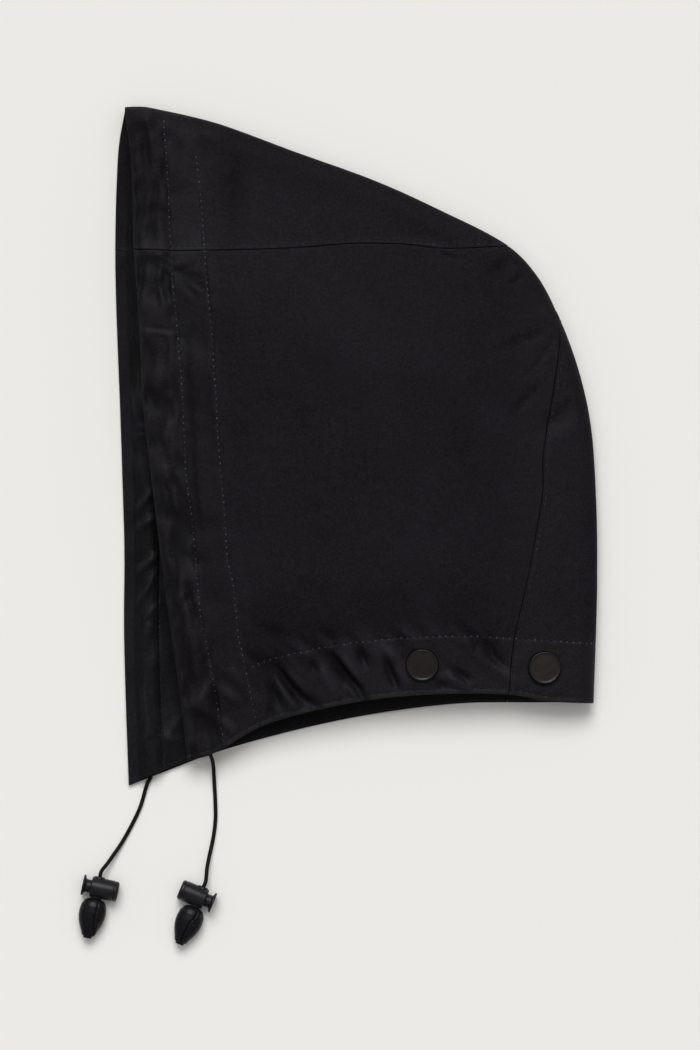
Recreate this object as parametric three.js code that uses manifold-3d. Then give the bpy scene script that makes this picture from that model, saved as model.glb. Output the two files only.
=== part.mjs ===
// Detachable waxed-cotton hood, laid down on its right side with the face opening towards -X
// and the crown towards +Y. Millimetres, +Z up, origin under the middle of the hood on the
// surface that it lies on. The upper cloth is the wearer's left side.

import * as THREE from "three";
import { mergeVertices } from "three/addons/utils/BufferGeometryUtils.js";
import Module from "manifold-3d";

const wasm = await Module();
wasm.setup();

// Overall sizes of the hood as it lies
const HOOD_DEPTH = 243.4; // face edge to centre back
const FACE_HEIGHT = 342.9; // crown to the front corner of the hem
const LOFT = 15; // how far the upper side swells above its folds
const SETTLE = 5.5; // how far the upper side sinks at the front corner of the hem
const FOLD_HALF_GAP = 7.5; // half the distance between the two layers beside a fold
const FOLD_REACH = 10; // how far in from the outline a fold is round
const SWELL_SPAN = 85; // distance in from a fold over which the upper side swells
const EDGE_SPAN = 62; // distance in from an opening over which it settles
const FACE_SWELL = 0.5; // share of the swell left at the face edge
const HEM_SWELL = 0.36; // share of the swell left at the hem
const SETTLE_REACH = 92; // how far from the front corner of the hem the upper side sinks

// Cloth
const CLOTH = 1.4; // outer cloth and its lining
const FACING = 1.0; // inner facing
const LAYER_GAP = 0.6; // between the cloth and its facing
const SEAM_GAP = 0.36; // between panels that are sewn together
const TURNED_EDGE = 6; // cloth turned in at the face edge, where its facing starts
const HEM_SETBACK = 1.2; // neck facing's edge behind the hem
const FACE_FACING_WIDTH = 35;
const NECK_FACING_DEPTH = 30;
const NECK_FACING_START = FACE_FACING_WIDTH + 3 * SEAM_GAP; // distance from the face edge
const CHANNEL_END = 18; // stitching of the drawcord channel, from the face edge
const PUCKER_RISE = 1.5; // height of the tallest pucker

// Drawcord, cord locks and cord ends
const CORD_RADIUS = 1.0;
const CORD_CLEARANCE = 0.4;
const CORD_LEAD = 3; // how far the cord runs straight before its lock
const CORD_HOLD = 9; // how far the cord runs into its channel
const CORD_IN_BELL = 6.5; // how far it runs into the cord end
const CORD_STEP = 2; // length of a straight piece of the cord, in cord diameters
const BARREL_RADIUS = 5.2;
const BARREL_LENGTH = 14;
const BARREL_WALL = 1.6;
const PLUNGER_CLEARANCE = 0.35;
const PLUNGER_TRAVEL = 2.8;
const PLUNGER_HEAD_RADIUS = 5.2;
const PLUNGER_HEAD_THICK = 1.2;
const CORD_HOLE_PLACE = 0.25; // share of the barrel's length, from its open end
const BELL_LENGTH = 20.2;
const BELL_WIDTH = 13.7;
const BELL_THICK = 10.3;
const STEM_PAST_CORD = 1.6; // how far the plunger goes on past its slot
const BELL_GAP = 0.5; // between the barrel and the cord end

// Press studs
const CAP_RADIUS = 8.4;
const CAP_HEIGHT = 2.2;
const CAP_SEAT = 0.5; // air between a cap or socket and the curved cloth
const POST_RADIUS = 2.1;
const POST_CLEARANCE = 0.4;
const RIVET_GAP = 0.3; // between the socket's base and the spread end of the post
const RIVET_LIP = 0.5; // thickness of the post's spread end
const RIVET_SPREAD = 0.7; // how far it is spread
const SOCKET_RADIUS = 6.4;
const SOCKET_TAPER = 0.9; // how much smaller its open face is, in radius
const SOCKET_HEIGHT = 2.6;
const SOCKET_BORE = 3.9;
const SOCKET_BASE = 0.8;
const STUD_FLAT = 1.35; // cloth stays flat to this many cap radii around a stud
const STUD_SLOPE = 3; // cap radii over which it goes back to its own height
const STUD_SIDES = 16;

// Outlines of the hood as it lies. x is a share of HOOD_DEPTH from the face edge to the back,
// y a share of FACE_HEIGHT from the hem's front corner to the crown.
const FOLD_LINE = [
  { x: 0.0207, y: 0.9995 },
  { x: 0.0591, y: 1.0 },
  { x: 0.0934, y: 0.9956 },
  { x: 0.2075, y: 0.9764 },
  { x: 0.3734, y: 0.9337 },
  { x: 0.5394, y: 0.891 },
  { x: 0.6639, y: 0.8513 },
  { x: 0.8195, y: 0.7931 },
  { x: 0.8755, y: 0.7511 },
  { x: 0.9149, y: 0.6996 },
  { x: 0.9564, y: 0.6244 },
  { x: 0.9855, y: 0.5376 },
  { x: 0.9979, y: 0.4212 },
  { x: 1.0, y: 0.296 },
  { x: 0.9927, y: 0.1222 },
];
const FACE_EDGE = {
  left: [
    { x: 0.0353, y: 0.9175 },
    { x: 0.0415, y: 0.7923 },
    { x: 0.0519, y: 0.6907 },
    { x: 0.0602, y: 0.5685 },
    { x: 0.0788, y: 0.4477 },
    { x: 0.0985, y: 0.3299 },
    { x: 0.1203, y: 0.215 },
    { x: 0.1369, y: 0.1267 },
    { x: 0.1504, y: 0.0383 },
  ],
  right: [
    { x: 0.0083, y: 0.9514 },
    { x: 0.0027, y: 0.8925 },
    { x: 0.0, y: 0.8189 },
    { x: 0.0006, y: 0.7305 },
    { x: 0.0093, y: 0.5611 },
    { x: 0.0145, y: 0.4507 },
    { x: 0.0187, y: 0.3402 },
    { x: 0.0176, y: 0.2445 },
    { x: 0.0207, y: 0.1414 },
    { x: 0.0278, y: 0.0 },
  ],
};
const HEM = {
  left: [
    { x: 0.1504, y: 0.0383 },
    { x: 0.195, y: 0.0457 },
    { x: 0.2274, y: 0.0574 },
    { x: 0.2956, y: 0.0862 },
    { x: 0.3631, y: 0.1031 },
    { x: 0.5041, y: 0.1252 },
    { x: 0.6452, y: 0.1358 },
    { x: 0.8154, y: 0.1358 },
    { x: 0.8983, y: 0.1256 },
  ],
  right: [
    { x: 0.0278, y: 0.0 },
    { x: 0.1058, y: 0.0214 },
    { x: 0.2075, y: 0.0486 },
    { x: 0.3734, y: 0.0817 },
    { x: 0.5394, y: 0.106 },
    { x: 0.7054, y: 0.1208 },
    { x: 0.8921, y: 0.123 },
  ],
};
const CROWN_SEAM = [
  { x: 0.1203, y: 0.7858 },
  { x: 0.2863, y: 0.7873 },
  { x: 0.3838, y: 0.79 },
  { x: 0.5104, y: 0.7968 },
  { x: 0.612, y: 0.7953 },
  { x: 0.6743, y: 0.7903 },
];
const BACK_SEAM = [
  { x: 0.9206, y: 0.6582 },
  { x: 0.9104, y: 0.592 },
  { x: 0.8942, y: 0.5243 },
  { x: 0.8865, y: 0.4831 },
  { x: 0.8859, y: 0.4345 },
  { x: 0.8714, y: 0.3697 },
  { x: 0.8506, y: 0.2946 },
  { x: 0.8257, y: 0.2141 },
];
const CROWN_SEAM_START = 0.788; // height of the seam at the face edge
const CROWN_TIP = 0.7931; // height where the crown panel runs out on the fold
const BACK_TIP = 0.6996; // height where the back panel starts on the fold
const BACK_SEAM_FOOT = 0.815; // place of the back seam on the hem
const CROWN_POINT = 0.985; // share of its seam where the crown panel ends in a blunt point
const BACK_POINT = 0.035; // share of its seam where the back panel starts in one

// Chords under the crown fold, the turn of the crown and the back fold, from which the
// upper side swells
const SWELL_CHORDS = [
  { from: { x: 0.0, y: 1.0 }, to: { x: 0.82, y: 0.8 } },
  { from: { x: 0.8, y: 0.82 }, to: { x: 0.985, y: 0.54 } },
  { from: { x: 1.0, y: 0.6 }, to: { x: 1.0, y: 0.1 } },
];

// Puckers that stand proud of the upper cloth. Run and breadth are shares of FACE_HEIGHT,
// slant is in degrees from +X, rise a share of PUCKER_RISE.
const PUCKERS = [
  { x: 0.318, y: 0.118, run: 0.034, breadth: 0.0105, slant: -56, rise: 0.8 },
  { x: 0.372, y: 0.137, run: 0.036, breadth: 0.0105, slant: -54, rise: 1.0 },
  { x: 0.432, y: 0.146, run: 0.036, breadth: 0.0105, slant: -54, rise: 0.9 },
  { x: 0.492, y: 0.155, run: 0.036, breadth: 0.0105, slant: -55, rise: 1.0 },
  { x: 0.548, y: 0.166, run: 0.036, breadth: 0.0105, slant: -56, rise: 0.9 },
  { x: 0.71, y: 0.162, run: 0.03, breadth: 0.0105, slant: -40, rise: 0.8 },
  { x: 0.775, y: 0.178, run: 0.036, breadth: 0.0105, slant: -58, rise: 0.8 },
  { x: 0.088, y: 0.675, run: 0.045, breadth: 0.012, slant: 70, rise: 0.5 },
  { x: 0.098, y: 0.545, run: 0.05, breadth: 0.014, slant: 80, rise: 0.6 },
  { x: 0.112, y: 0.4, run: 0.045, breadth: 0.014, slant: 104, rise: 0.6 },
  { x: 0.162, y: 0.25, run: 0.05, breadth: 0.014, slant: 58, rise: 0.6 },
  { x: 0.186, y: 0.12, run: 0.04, breadth: 0.014, slant: 62, rise: 0.7 },
];

// Creases of the facing that shows inside the face opening, on the lower side
const FACING_CREASES = [
  { x: 0.044, y: 0.49, run: 0.03, breadth: 0.011, slant: 48, rise: 0.9 },
  { x: 0.06, y: 0.425, run: 0.04, breadth: 0.012, slant: 52, rise: 1.0 },
  { x: 0.066, y: 0.345, run: 0.045, breadth: 0.012, slant: 55, rise: 1.0 },
  { x: 0.07, y: 0.265, run: 0.04, breadth: 0.012, slant: 60, rise: 0.9 },
  { x: 0.05, y: 0.17, run: 0.05, breadth: 0.012, slant: 84, rise: 0.8 },
];

// Press studs, two on each side of the neck
const STUDS = {
  left: [
    { name: "front", x: 0.6365, y: 0.1813 },
    { name: "back", x: 0.8884, y: 0.1756 },
  ],
  right: [
    { name: "front", x: 0.622, y: 0.168 },
    { name: "back", x: 0.8884, y: 0.1756 },
  ],
};

// Routes of the free cord ends, from the mouth of the channel: dx and dy from the mouth,
// z above the surface that the hood lies on. The last point is the cord lock's middle.
const CORD_ROUTE = {
  left: [
    { dx: 0.8, dy: -2.6, z: 8.6 },
    { dx: 1.3, dy: -6, z: 5.8 },
    { dx: 1.5, dy: -10.4, z: 3.3 },
    { dx: 1.7, dy: -15.4, z: 1.8 },
    { dx: 2, dy: -20.4, z: 1.15 },
    { dx: 2.2, dy: -25.9, z: 1.05 },
    { dx: 2.3, dy: -31.4, z: 1.05 },
    { dx: 1.9, dy: -36.9, z: 1.05 },
    { dx: 1.2, dy: -41.9, z: 1.15 },
    { dx: 0.2, dy: -46.9, z: 1.7 },
    { dx: -0.9, dy: -51.9, z: 2.8 },
    { dx: -1.9, dy: -57.4, z: 4.3 },
    { dx: -5.9, dy: -72.1, z: 5.25 },
  ],
  right: [
    { dx: -1.4, dy: -2.4, z: 2 },
    { dx: -2.6, dy: -5.6, z: 1.4 },
    { dx: -3.6, dy: -9.3, z: 1.1 },
    { dx: -5.1, dy: -14.3, z: 1.05 },
    { dx: -7.2, dy: -19.3, z: 1.05 },
    { dx: -9.7, dy: -24.3, z: 1.05 },
    { dx: -12.4, dy: -29.3, z: 1.15 },
    { dx: -15.4, dy: -34.3, z: 1.8 },
    { dx: -18.5, dy: -38.8, z: 3 },
    { dx: -21.5, dy: -43.1, z: 4.4 },
    { dx: -26.7, dy: -55.8, z: 5.25 },
  ],
};
// How each cord lock and cord end is turned on the surface, in degrees. The barrel's closed
// end points along turn, the cord end's tip along tip.
const LOCK_TURN = {
  left: { turn: 157, tip: -113 },
  right: { turn: -12, tip: -102 },
};

// Sections of a cord end, which is widest a third of the way down and blunt at its tip. along,
// width and thick are shares of BELL_LENGTH, BELL_WIDTH and BELL_THICK.
const BELL_SECTIONS = [
  { along: 0.0, width: 0.5, thick: 0.5 },
  { along: 0.06, width: 0.76, thick: 0.78 },
  { along: 0.18, width: 0.94, thick: 0.95 },
  { along: 0.35, width: 1.0, thick: 1.0 },
  { along: 0.55, width: 0.96, thick: 0.96 },
  { along: 0.75, width: 0.8, thick: 0.82 },
  { along: 0.93, width: 0.48, thick: 0.52 },
  { along: 0.94, width: 0.32, thick: 0.4 },
  { along: 1.0, width: 0.29, thick: 0.36 },
];
const BELL_SIDES = 14;

const UP = new THREE.Vector3(0, 0, 1);
const SIGN = { left: 1, right: -1 };
const FOLD_HEIGHT = CLOTH / 2 + FOLD_HALF_GAP; // middle of the cloth at the outline

const lerp = THREE.MathUtils.lerp;
const clamp = THREE.MathUtils.clamp;
const radians = THREE.MathUtils.degToRad;

function smooth(t) {
  const c = clamp(t, 0, 1);
  return c * c * (3 - 2 * c);
}

function placed(share) {
  return new THREE.Vector2((share.x - 0.5) * HOOD_DEPTH, (share.y - 0.5) * FACE_HEIGHT);
}

// A smooth line through points, walked by its share of length.
class Line {
  constructor(points, pieces = 160) {
    const curve = new THREE.CatmullRomCurve3(
      points.map((p) => new THREE.Vector3(p.x, p.y, 0)),
      false,
      "centripetal",
    );
    curve.arcLengthDivisions = 4 * pieces;
    this.points = curve.getSpacedPoints(pieces).map((p) => new THREE.Vector2(p.x, p.y));
    this.length = curve.getLength();
  }

  at(share) {
    const place = clamp(share, 0, 1) * (this.points.length - 1);
    const first = Math.min(Math.floor(place), this.points.length - 2);
    return this.points[first].clone().lerp(this.points[first + 1], place - first);
  }

  // Share of length where the line crosses a height, for a line that falls all the way.
  shareAtHeight(y, from = 0, to = 1) {
    let high = from;
    let low = to;
    for (let step = 0; step < 40; step++) {
      const middle = (high + low) / 2;
      if (this.at(middle).y > y) high = middle;
      else low = middle;
    }
    return (high + low) / 2;
  }

  shareAtPlace(x) {
    let before = 0;
    let after = 1;
    for (let step = 0; step < 40; step++) {
      const middle = (before + after) / 2;
      if (this.at(middle).x < x) before = middle;
      else after = middle;
    }
    return (before + after) / 2;
  }

  // Moves the line to its right by an amount, which is inwards for the fold line.
  movedIn(amount) {
    const last = this.points.length - 1;
    const moved = this.points.map((p, i) => {
      const along = this.points[Math.min(i + 1, last)].clone().sub(this.points[Math.max(i - 1, 0)]);
      along.normalize();
      return new THREE.Vector2(p.x + along.y * amount, p.y - along.x * amount);
    });
    this.points = moved;
    return this;
  }

  // Distance from a point, and the unit vector from the line's nearest place to its right.
  distance(x, y) {
    let best = Infinity;
    let found = 0;
    for (let i = 0; i < this.points.length - 1; i++) {
      const a = this.points[i];
      const b = this.points[i + 1];
      const dx = b.x - a.x;
      const dy = b.y - a.y;
      const t = clamp(((x - a.x) * dx + (y - a.y) * dy) / (dx * dx + dy * dy), 0, 1);
      const ox = x - a.x - t * dx;
      const oy = y - a.y - t * dy;
      const square = ox * ox + oy * oy;
      if (square < best) {
        best = square;
        found = i;
      }
    }
    const a = this.points[found];
    const b = this.points[found + 1];
    const run = a.distanceTo(b);
    return { d: Math.sqrt(best), inX: (b.y - a.y) / run, inY: -(b.x - a.x) / run };
  }
}

// Lines of the flat hood
const fold = new Line(FOLD_LINE.map(placed)).movedIn(CLOTH / 2);
const crownTip = fold.shareAtHeight(placed({ x: 0, y: CROWN_TIP }).y, 0.1);
const backTip = fold.shareAtHeight(placed({ x: 0, y: BACK_TIP }).y, 0.1);
const faceEdge = {};
const hem = {};
const crownSeam = {};
const backSeam = {};
const seamOnEdge = {};
const seamOnHem = {};
for (const side of ["left", "right"]) {
  faceEdge[side] = new Line([fold.at(0), ...FACE_EDGE[side].map(placed)]);
  hem[side] = new Line([...HEM[side].map(placed), fold.at(1)]);
  seamOnEdge[side] = faceEdge[side].shareAtHeight(placed({ x: 0, y: CROWN_SEAM_START }).y);
  seamOnHem[side] = hem[side].shareAtPlace(placed({ x: BACK_SEAM_FOOT, y: 0 }).x);
  crownSeam[side] = new Line([
    faceEdge[side].at(seamOnEdge[side]),
    ...CROWN_SEAM.map(placed),
    fold.at(crownTip),
  ]);
  backSeam[side] = new Line([
    fold.at(backTip),
    ...BACK_SEAM.map(placed),
    hem[side].at(seamOnHem[side]),
  ]);
}

// Height of the cloth's middle above the surface, and its outward normal
const swellLines = SWELL_CHORDS.map((chord) => {
  const from = placed(chord.from);
  const along = placed(chord.to).sub(from).normalize();
  return { from, along };
});
const hemCorner = faceEdge.left.at(1);

function upperSwell(x, y) {
  let swell = LOFT;
  for (const { from, along } of swellLines) {
    const inside = (x - from.x) * along.y - (y - from.y) * along.x;
    swell *= smooth(inside / SWELL_SPAN);
  }
  const fromFace = smooth(faceEdge.left.distance(x, y).d / EDGE_SPAN);
  const fromHem = smooth(hem.left.distance(x, y).d / EDGE_SPAN);
  swell *= lerp(FACE_SWELL, 1, fromFace) * lerp(HEM_SWELL, 1, fromHem);
  const fromCorner = Math.hypot(x - hemCorner.x, y - hemCorner.y) / SETTLE_REACH;
  return swell - SETTLE * Math.exp(-fromCorner * fromCorner);
}

// The lower side is flat on the surface, apart from where it lies over its stud caps.
function lowerLift(x, y) {
  let lift = 0;
  for (const stud of STUDS.right) {
    const centre = placed(stud);
    const away = Math.hypot(x - centre.x, y - centre.y) / CAP_RADIUS - STUD_FLAT;
    lift = Math.max(lift, 1 - smooth(away / STUD_SLOPE));
  }
  return lift * (CAP_HEIGHT + CAP_SEAT);
}

const LAYER = { left: upperSwell, right: lowerLift };

function cloth(side, x, y) {
  const { d, inX, inY } = fold.distance(x, y);
  const inward = clamp(d / FOLD_REACH, 0, 1);
  const round = Math.sqrt(1 - (1 - inward) ** 2);
  const slope = (1 - inward) / (FOLD_REACH * Math.max(round, 0.03));
  const step = 0.05;
  const layer = LAYER[side];
  const here = layer(x, y);
  const layerX = (layer(x + step, y) - layer(x - step, y)) / (2 * step);
  const layerY = (layer(x, y + step) - layer(x, y - step)) / (2 * step);
  const sign = SIGN[side];
  const rise = sign * FOLD_HALF_GAP + here;
  const height = FOLD_HEIGHT + round * rise;
  const normal = new THREE.Vector3(
    -(rise * slope * inX + round * layerX),
    -(rise * slope * inY + round * layerY),
    1,
  );
  return {
    point: new THREE.Vector3(x, y, height),
    normal: normal.multiplyScalar(sign).normalize(),
  };
}

function bumps(table, x, y, studs) {
  let rise = 0;
  for (const row of table) {
    const centre = placed(row);
    const slant = radians(row.slant);
    const dx = x - centre.x;
    const dy = y - centre.y;
    const along = (dx * Math.cos(slant) + dy * Math.sin(slant)) / (row.run * FACE_HEIGHT);
    const across = (dy * Math.cos(slant) - dx * Math.sin(slant)) / (row.breadth * FACE_HEIGHT);
    rise += row.rise * Math.exp(-(along ** 4) - across ** 2);
  }
  for (const stud of studs) {
    const centre = placed(stud);
    const away = Math.hypot(x - centre.x, y - centre.y) / CAP_RADIUS - STUD_FLAT;
    rise *= smooth(away);
  }
  return rise * PUCKER_RISE;
}

const puckers = (side, x, y) => (side === "left" ? bumps(PUCKERS, x, y, STUDS.left) : 0);
const creases = (side, x, y) => (side === "right" ? bumps(FACING_CREASES, x, y, []) : 0);

// The facing stands away from the cloth over the drawcord, in a tunnel with sloping sides.
const CHANNEL_MIDDLE = (TURNED_EDGE + CHANNEL_END) / 2;
const TUNNEL_RISE = 2 * (CORD_RADIUS + CORD_CLEARANCE) - LAYER_GAP + CORD_CLEARANCE;
const TUNNEL_HALF = CORD_RADIUS + 2 * CORD_CLEARANCE;
const TUNNEL_SLOPE = 3;

function tunnel(side, x, y) {
  const off = Math.abs(faceEdge[side].distance(x, y).d - CHANNEL_MIDDLE);
  return TUNNEL_RISE * clamp((TUNNEL_HALF + TUNNEL_SLOPE - off) / TUNNEL_SLOPE, 0, 1);
}

// A flat patch between four lines, each a function from 0 to 1: over and under run from the
// face to the back, front and rear from the crown to the hem.
function patch(over, under, front, rear) {
  const corners = [over(0), over(1), under(0), under(1)];
  return (u, v) => {
    const rows = over(u).multiplyScalar(1 - v).addScaledVector(under(u), v);
    const columns = front(v).multiplyScalar(1 - u).addScaledVector(rear(v), u);
    const flat = corners[0].clone().multiplyScalar((1 - u) * (1 - v));
    flat.addScaledVector(corners[1], u * (1 - v));
    flat.addScaledVector(corners[2], (1 - u) * v);
    flat.addScaledVector(corners[3], u * v);
    return rows.add(columns).sub(flat);
  };
}

const stretch = (line, from, to) => (t) => line.at(lerp(from, to, t));

// Even steps from 0 to 1, and two ways to bring them closer together towards 0, where a fold is.
function steps(count) {
  return Array.from({ length: count + 1 }, (_, i) => i / count);
}

const towardsFold = (t) => 1 - Math.cos((t * Math.PI) / 2);
const nearFold = (t) => lerp(t, t * t, 0.6);

// A closed wall over a grid. place(i, j) gives a cloth point with its normal; outer and inner
// give the distances of the two faces from it.
function wall(columns, rows, place, outer, inner) {
  const positions = [];
  const index = [];
  const size = columns * rows;
  for (const offset of [outer, inner]) {
    for (let j = 0; j < rows; j++) {
      for (let i = 0; i < columns; i++) {
        const spot = place(i, j);
        const face = spot.point.clone().addScaledVector(spot.normal, offset(spot));
        positions.push(face.x, face.y, face.z);
      }
    }
  }
  const at = (i, j, k) => k * size + j * columns + i;
  for (let j = 0; j < rows - 1; j++) {
    for (let i = 0; i < columns - 1; i++) {
      const [a, b, c, d] = [at(i, j, 0), at(i + 1, j, 0), at(i + 1, j + 1, 0), at(i, j + 1, 0)];
      const even = (i + j) % 2 === 0;
      const outerFaces = even ? [a, b, c, a, c, d] : [a, b, d, b, c, d];
      index.push(...outerFaces);
      const flipped = [...outerFaces].reverse().map((n) => n + size);
      index.push(...flipped);
    }
  }
  const rim = [];
  for (let i = 0; i < columns - 1; i++) rim.push([i, 0]);
  for (let j = 0; j < rows - 1; j++) rim.push([columns - 1, j]);
  for (let i = columns - 1; i > 0; i--) rim.push([i, rows - 1]);
  for (let j = rows - 1; j > 0; j--) rim.push([0, j]);
  rim.forEach(([i, j], n) => {
    const [k, l] = rim[(n + 1) % rim.length];
    const [a, b] = [at(i, j, 0), at(k, l, 0)];
    index.push(b, a, a + size, b, a + size, b + size);
  });
  return outwards(geometryOf(positions, index));
}

function geometryOf(positions, index) {
  const geometry = new THREE.BufferGeometry();
  geometry.setAttribute("position", new THREE.Float32BufferAttribute(positions, 3));
  geometry.setIndex(index);
  return geometry;
}

function solidOf(geometry) {
  const bare = geometry.clone();
  bare.deleteAttribute("normal");
  bare.deleteAttribute("uv");
  const merged = mergeVertices(bare, 1e-4);
  return new wasm.Manifold(
    new wasm.Mesh({
      numProp: 3,
      vertProperties: new Float32Array(merged.attributes.position.array),
      triVerts: new Uint32Array(merged.index.array),
    }),
  );
}

function geometryFrom(solid) {
  const mesh = solid.getMesh();
  const geometry = geometryOf(Array.from(mesh.vertProperties), Array.from(mesh.triVerts));
  geometry.computeVertexNormals();
  return geometry;
}

// Turns the faces round if the solid is inside out.
function outwards(geometry) {
  const p = geometry.attributes.position;
  const index = Array.from(geometry.index.array);
  let volume = 0;
  const [a, b, c] = [new THREE.Vector3(), new THREE.Vector3(), new THREE.Vector3()];
  for (let i = 0; i < index.length; i += 3) {
    a.fromBufferAttribute(p, index[i]);
    b.fromBufferAttribute(p, index[i + 1]);
    c.fromBufferAttribute(p, index[i + 2]);
    volume += a.dot(b.cross(c));
  }
  if (volume < 0) geometry.setIndex(index.reverse());
  geometry.computeVertexNormals();
  return geometry;
}

function cut(geometry, ...tools) {
  let solid = solidOf(geometry);
  for (const tool of tools) solid = solid.subtract(solidOf(tool));
  return geometryFrom(solid);
}

// Finishes
const finish = (color, roughness, metalness = 0) =>
  new THREE.MeshStandardMaterial({ color, roughness, metalness });
const waxedCotton = finish(0x1f1d21, 0.62);
const facingCloth = finish(0x191b20, 0.7);
const braid = finish(0x0c0c0a, 0.8);
const mouldedNylon = finish(0x232226, 0.5);
const glossyNylon = finish(0x121113, 0.3);
const blackMetal = finish(0x2a2726, 0.42, 0.7);

const hood = new THREE.Group();

function add(name, geometry, material, group = hood) {
  const mesh = new THREE.Mesh(geometry, material);
  mesh.name = name;
  group.add(mesh);
  return mesh;
}

const edgeInset = (line) => SEAM_GAP / 2 / line.length;

// Side panels. Cells lie closer together where the cloth is puckered, and the panels on both
// sides of a seam have the same corners on it near its ends.
const CROWN_SPANS = {
  left: [
    { to: 0.22, cells: 4 },
    { to: 0.64, cells: 13 },
    { to: 0.91, cells: 4 },
    { to: CROWN_POINT, cells: 3 },
  ],
  right: [
    { to: 0.22, cells: 2 },
    { to: 0.64, cells: 4 },
    { to: 0.91, cells: 4 },
    { to: CROWN_POINT, cells: 3 },
  ],
  crown: [
    { to: 0.22, cells: 4 },
    { to: 0.64, cells: 6 },
    { to: 0.91, cells: 4 },
    { to: CROWN_POINT, cells: 3 },
  ],
};
const BACK_SPANS = [
  { to: 0.79, cells: 9 },
  { to: 1, cells: 5 },
];
const TURN_CELLS = 4; // between the crown panel's tip and the back panel's

function spanned(spans, from = 0) {
  const shares = [from];
  let start = from;
  for (const { to, cells } of spans) {
    for (const t of steps(cells).slice(1)) shares.push(lerp(start, to, t));
    start = to;
  }
  return shares;
}

// Shares of the back seam where the panels on both sides of it have their corners.
const seamShares = spanned(BACK_SPANS, BACK_POINT);

// A place on the fold where the two side panels are sewn together edge to edge: moved in from
// the fold as far as half a seam gap takes it up the round of the fold.
const SEAM_ON_FOLD =
  FOLD_REACH * (1 - Math.sqrt(1 - (SEAM_GAP / 2 / FOLD_HALF_GAP) ** 2));

function besideFold(share) {
  const p = fold.at(share);
  const { inX, inY } = fold.distance(p.x, p.y);
  return new THREE.Vector2(p.x + inX * SEAM_ON_FOLD, p.y + inY * SEAM_ON_FOLD);
}

function sidePanel(side) {
  const seam = crownSeam[side];
  const below = SEAM_GAP / 2;
  const over = (u) => {
    const p = u < 1 ? seam.at(u) : besideFold(crownTip);
    p.y -= u < 1 ? below : 0;
    return p;
  };
  const turn = fold.length * (backTip - crownTip);
  const tipShare = turn / (turn + backSeam[side].length);
  const rear = (v) => {
    if (v <= tipShare) return besideFold(lerp(crownTip, backTip, v / tipShare));
    const p = backSeam[side].at((v - tipShare) / (1 - tipShare));
    p.x -= below;
    return p;
  };
  const foot = seamOnHem[side] - edgeInset(hem[side]);
  const under = stretch(hem[side], 0, foot);
  const flat = patch(over, under, stretch(faceEdge[side], seamOnEdge[side], 1), rear);
  const turnRows = steps(TURN_CELLS).map((t) => t * tipShare);
  const rows = [...turnRows, ...seamShares.map((t) => lerp(tipShare, 1, t))];
  const columns = [...spanned(CROWN_SPANS[side]), 1];
  const place = (i, j) => {
    const p = flat(columns[i], rows[j]);
    return { ...cloth(side, p.x, p.y), side };
  };
  const thick = (half) => (spot) => half + puckers(spot.side, spot.point.x, spot.point.y);
  return wall(columns.length, rows.length, place, thick(CLOTH / 2), thick(-CLOTH / 2));
}

// Panels and facings that turn over a fold. across[] runs from 1 on the left side through 0 on
// the fold to -1 on the right side; flat[side](u, v) has v 0 on the fold.
function foldedSpots(flat, columns, across) {
  return (i, j) => {
    const v = across[j];
    const side = v >= 0 ? "left" : "right";
    const p = flat[side](columns[i], Math.abs(v));
    return { ...cloth(side, p.x, p.y), side };
  };
}

function mirrored(shares) {
  const half = shares.slice(1);
  return [...half].reverse().concat([0], half.map((v) => -v));
}

function crownPanel() {
  const flat = {};
  for (const side of ["left", "right"]) {
    const seam = crownSeam[side];
    const above = (u) => {
      const p = seam.at(u * CROWN_POINT);
      p.y += SEAM_GAP / 2;
      return p;
    };
    const front = stretch(faceEdge[side], 0, seamOnEdge[side] - edgeInset(faceEdge[side]));
    const rear = (v) => fold.at(crownTip * CROWN_POINT).lerp(above(1), v);
    flat[side] = patch(stretch(fold, 0, crownTip * CROWN_POINT), above, front, rear);
  }
  const columns = spanned(CROWN_SPANS.crown).map((t) => t / CROWN_POINT);
  const across = mirrored(steps(7).map(towardsFold));
  const place = foldedSpots(flat, columns, across);
  const thick = (half) => () => half;
  return wall(columns.length, across.length, place, thick(CLOTH / 2), thick(-CLOTH / 2));
}

function backPanel() {
  const flat = {};
  for (const side of ["left", "right"]) {
    const seam = (u) => {
      const p = backSeam[side].at(lerp(BACK_POINT, 1, u));
      p.x += SEAM_GAP / 2;
      return p;
    };
    const along = stretch(fold, lerp(backTip, 1, BACK_POINT), 1);
    const top = (v) => along(0).lerp(seam(0), v);
    const foot = seamOnHem[side] + edgeInset(hem[side]);
    const bottom = (v) => hem[side].at(lerp(1, foot, v));
    flat[side] = patch(along, seam, top, bottom);
  }
  const columns = seamShares.map((t) => (t - BACK_POINT) / (1 - BACK_POINT));
  const across = mirrored(steps(6).map(towardsFold));
  const place = foldedSpots(flat, columns, across);
  const thick = (half) => () => half;
  return wall(columns.length, across.length, place, thick(CLOTH / 2), thick(-CLOTH / 2));
}

// Facings, inside the cloth
const facingFace = (half) => (spot) => {
  const { x, y } = spot.point;
  const depth = CLOTH / 2 + LAYER_GAP + FACING / 2 + creases(spot.side, x, y);
  return half - depth - tunnel(spot.side, x, y);
};

// The line where a facing of the face opening ends, a given width in from the face edge.
function inFromFace(side, width) {
  const edge = faceEdge[side];
  const atFold = fold.at(width / fold.length).sub(edge.at(0));
  const atHem = hem[side].at(width / hem[side].length).sub(edge.at(1));
  return (t) => {
    const p = edge.at(t);
    return p.addScaledVector(atFold, 1 - t).addScaledVector(atHem, t);
  };
}

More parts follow.
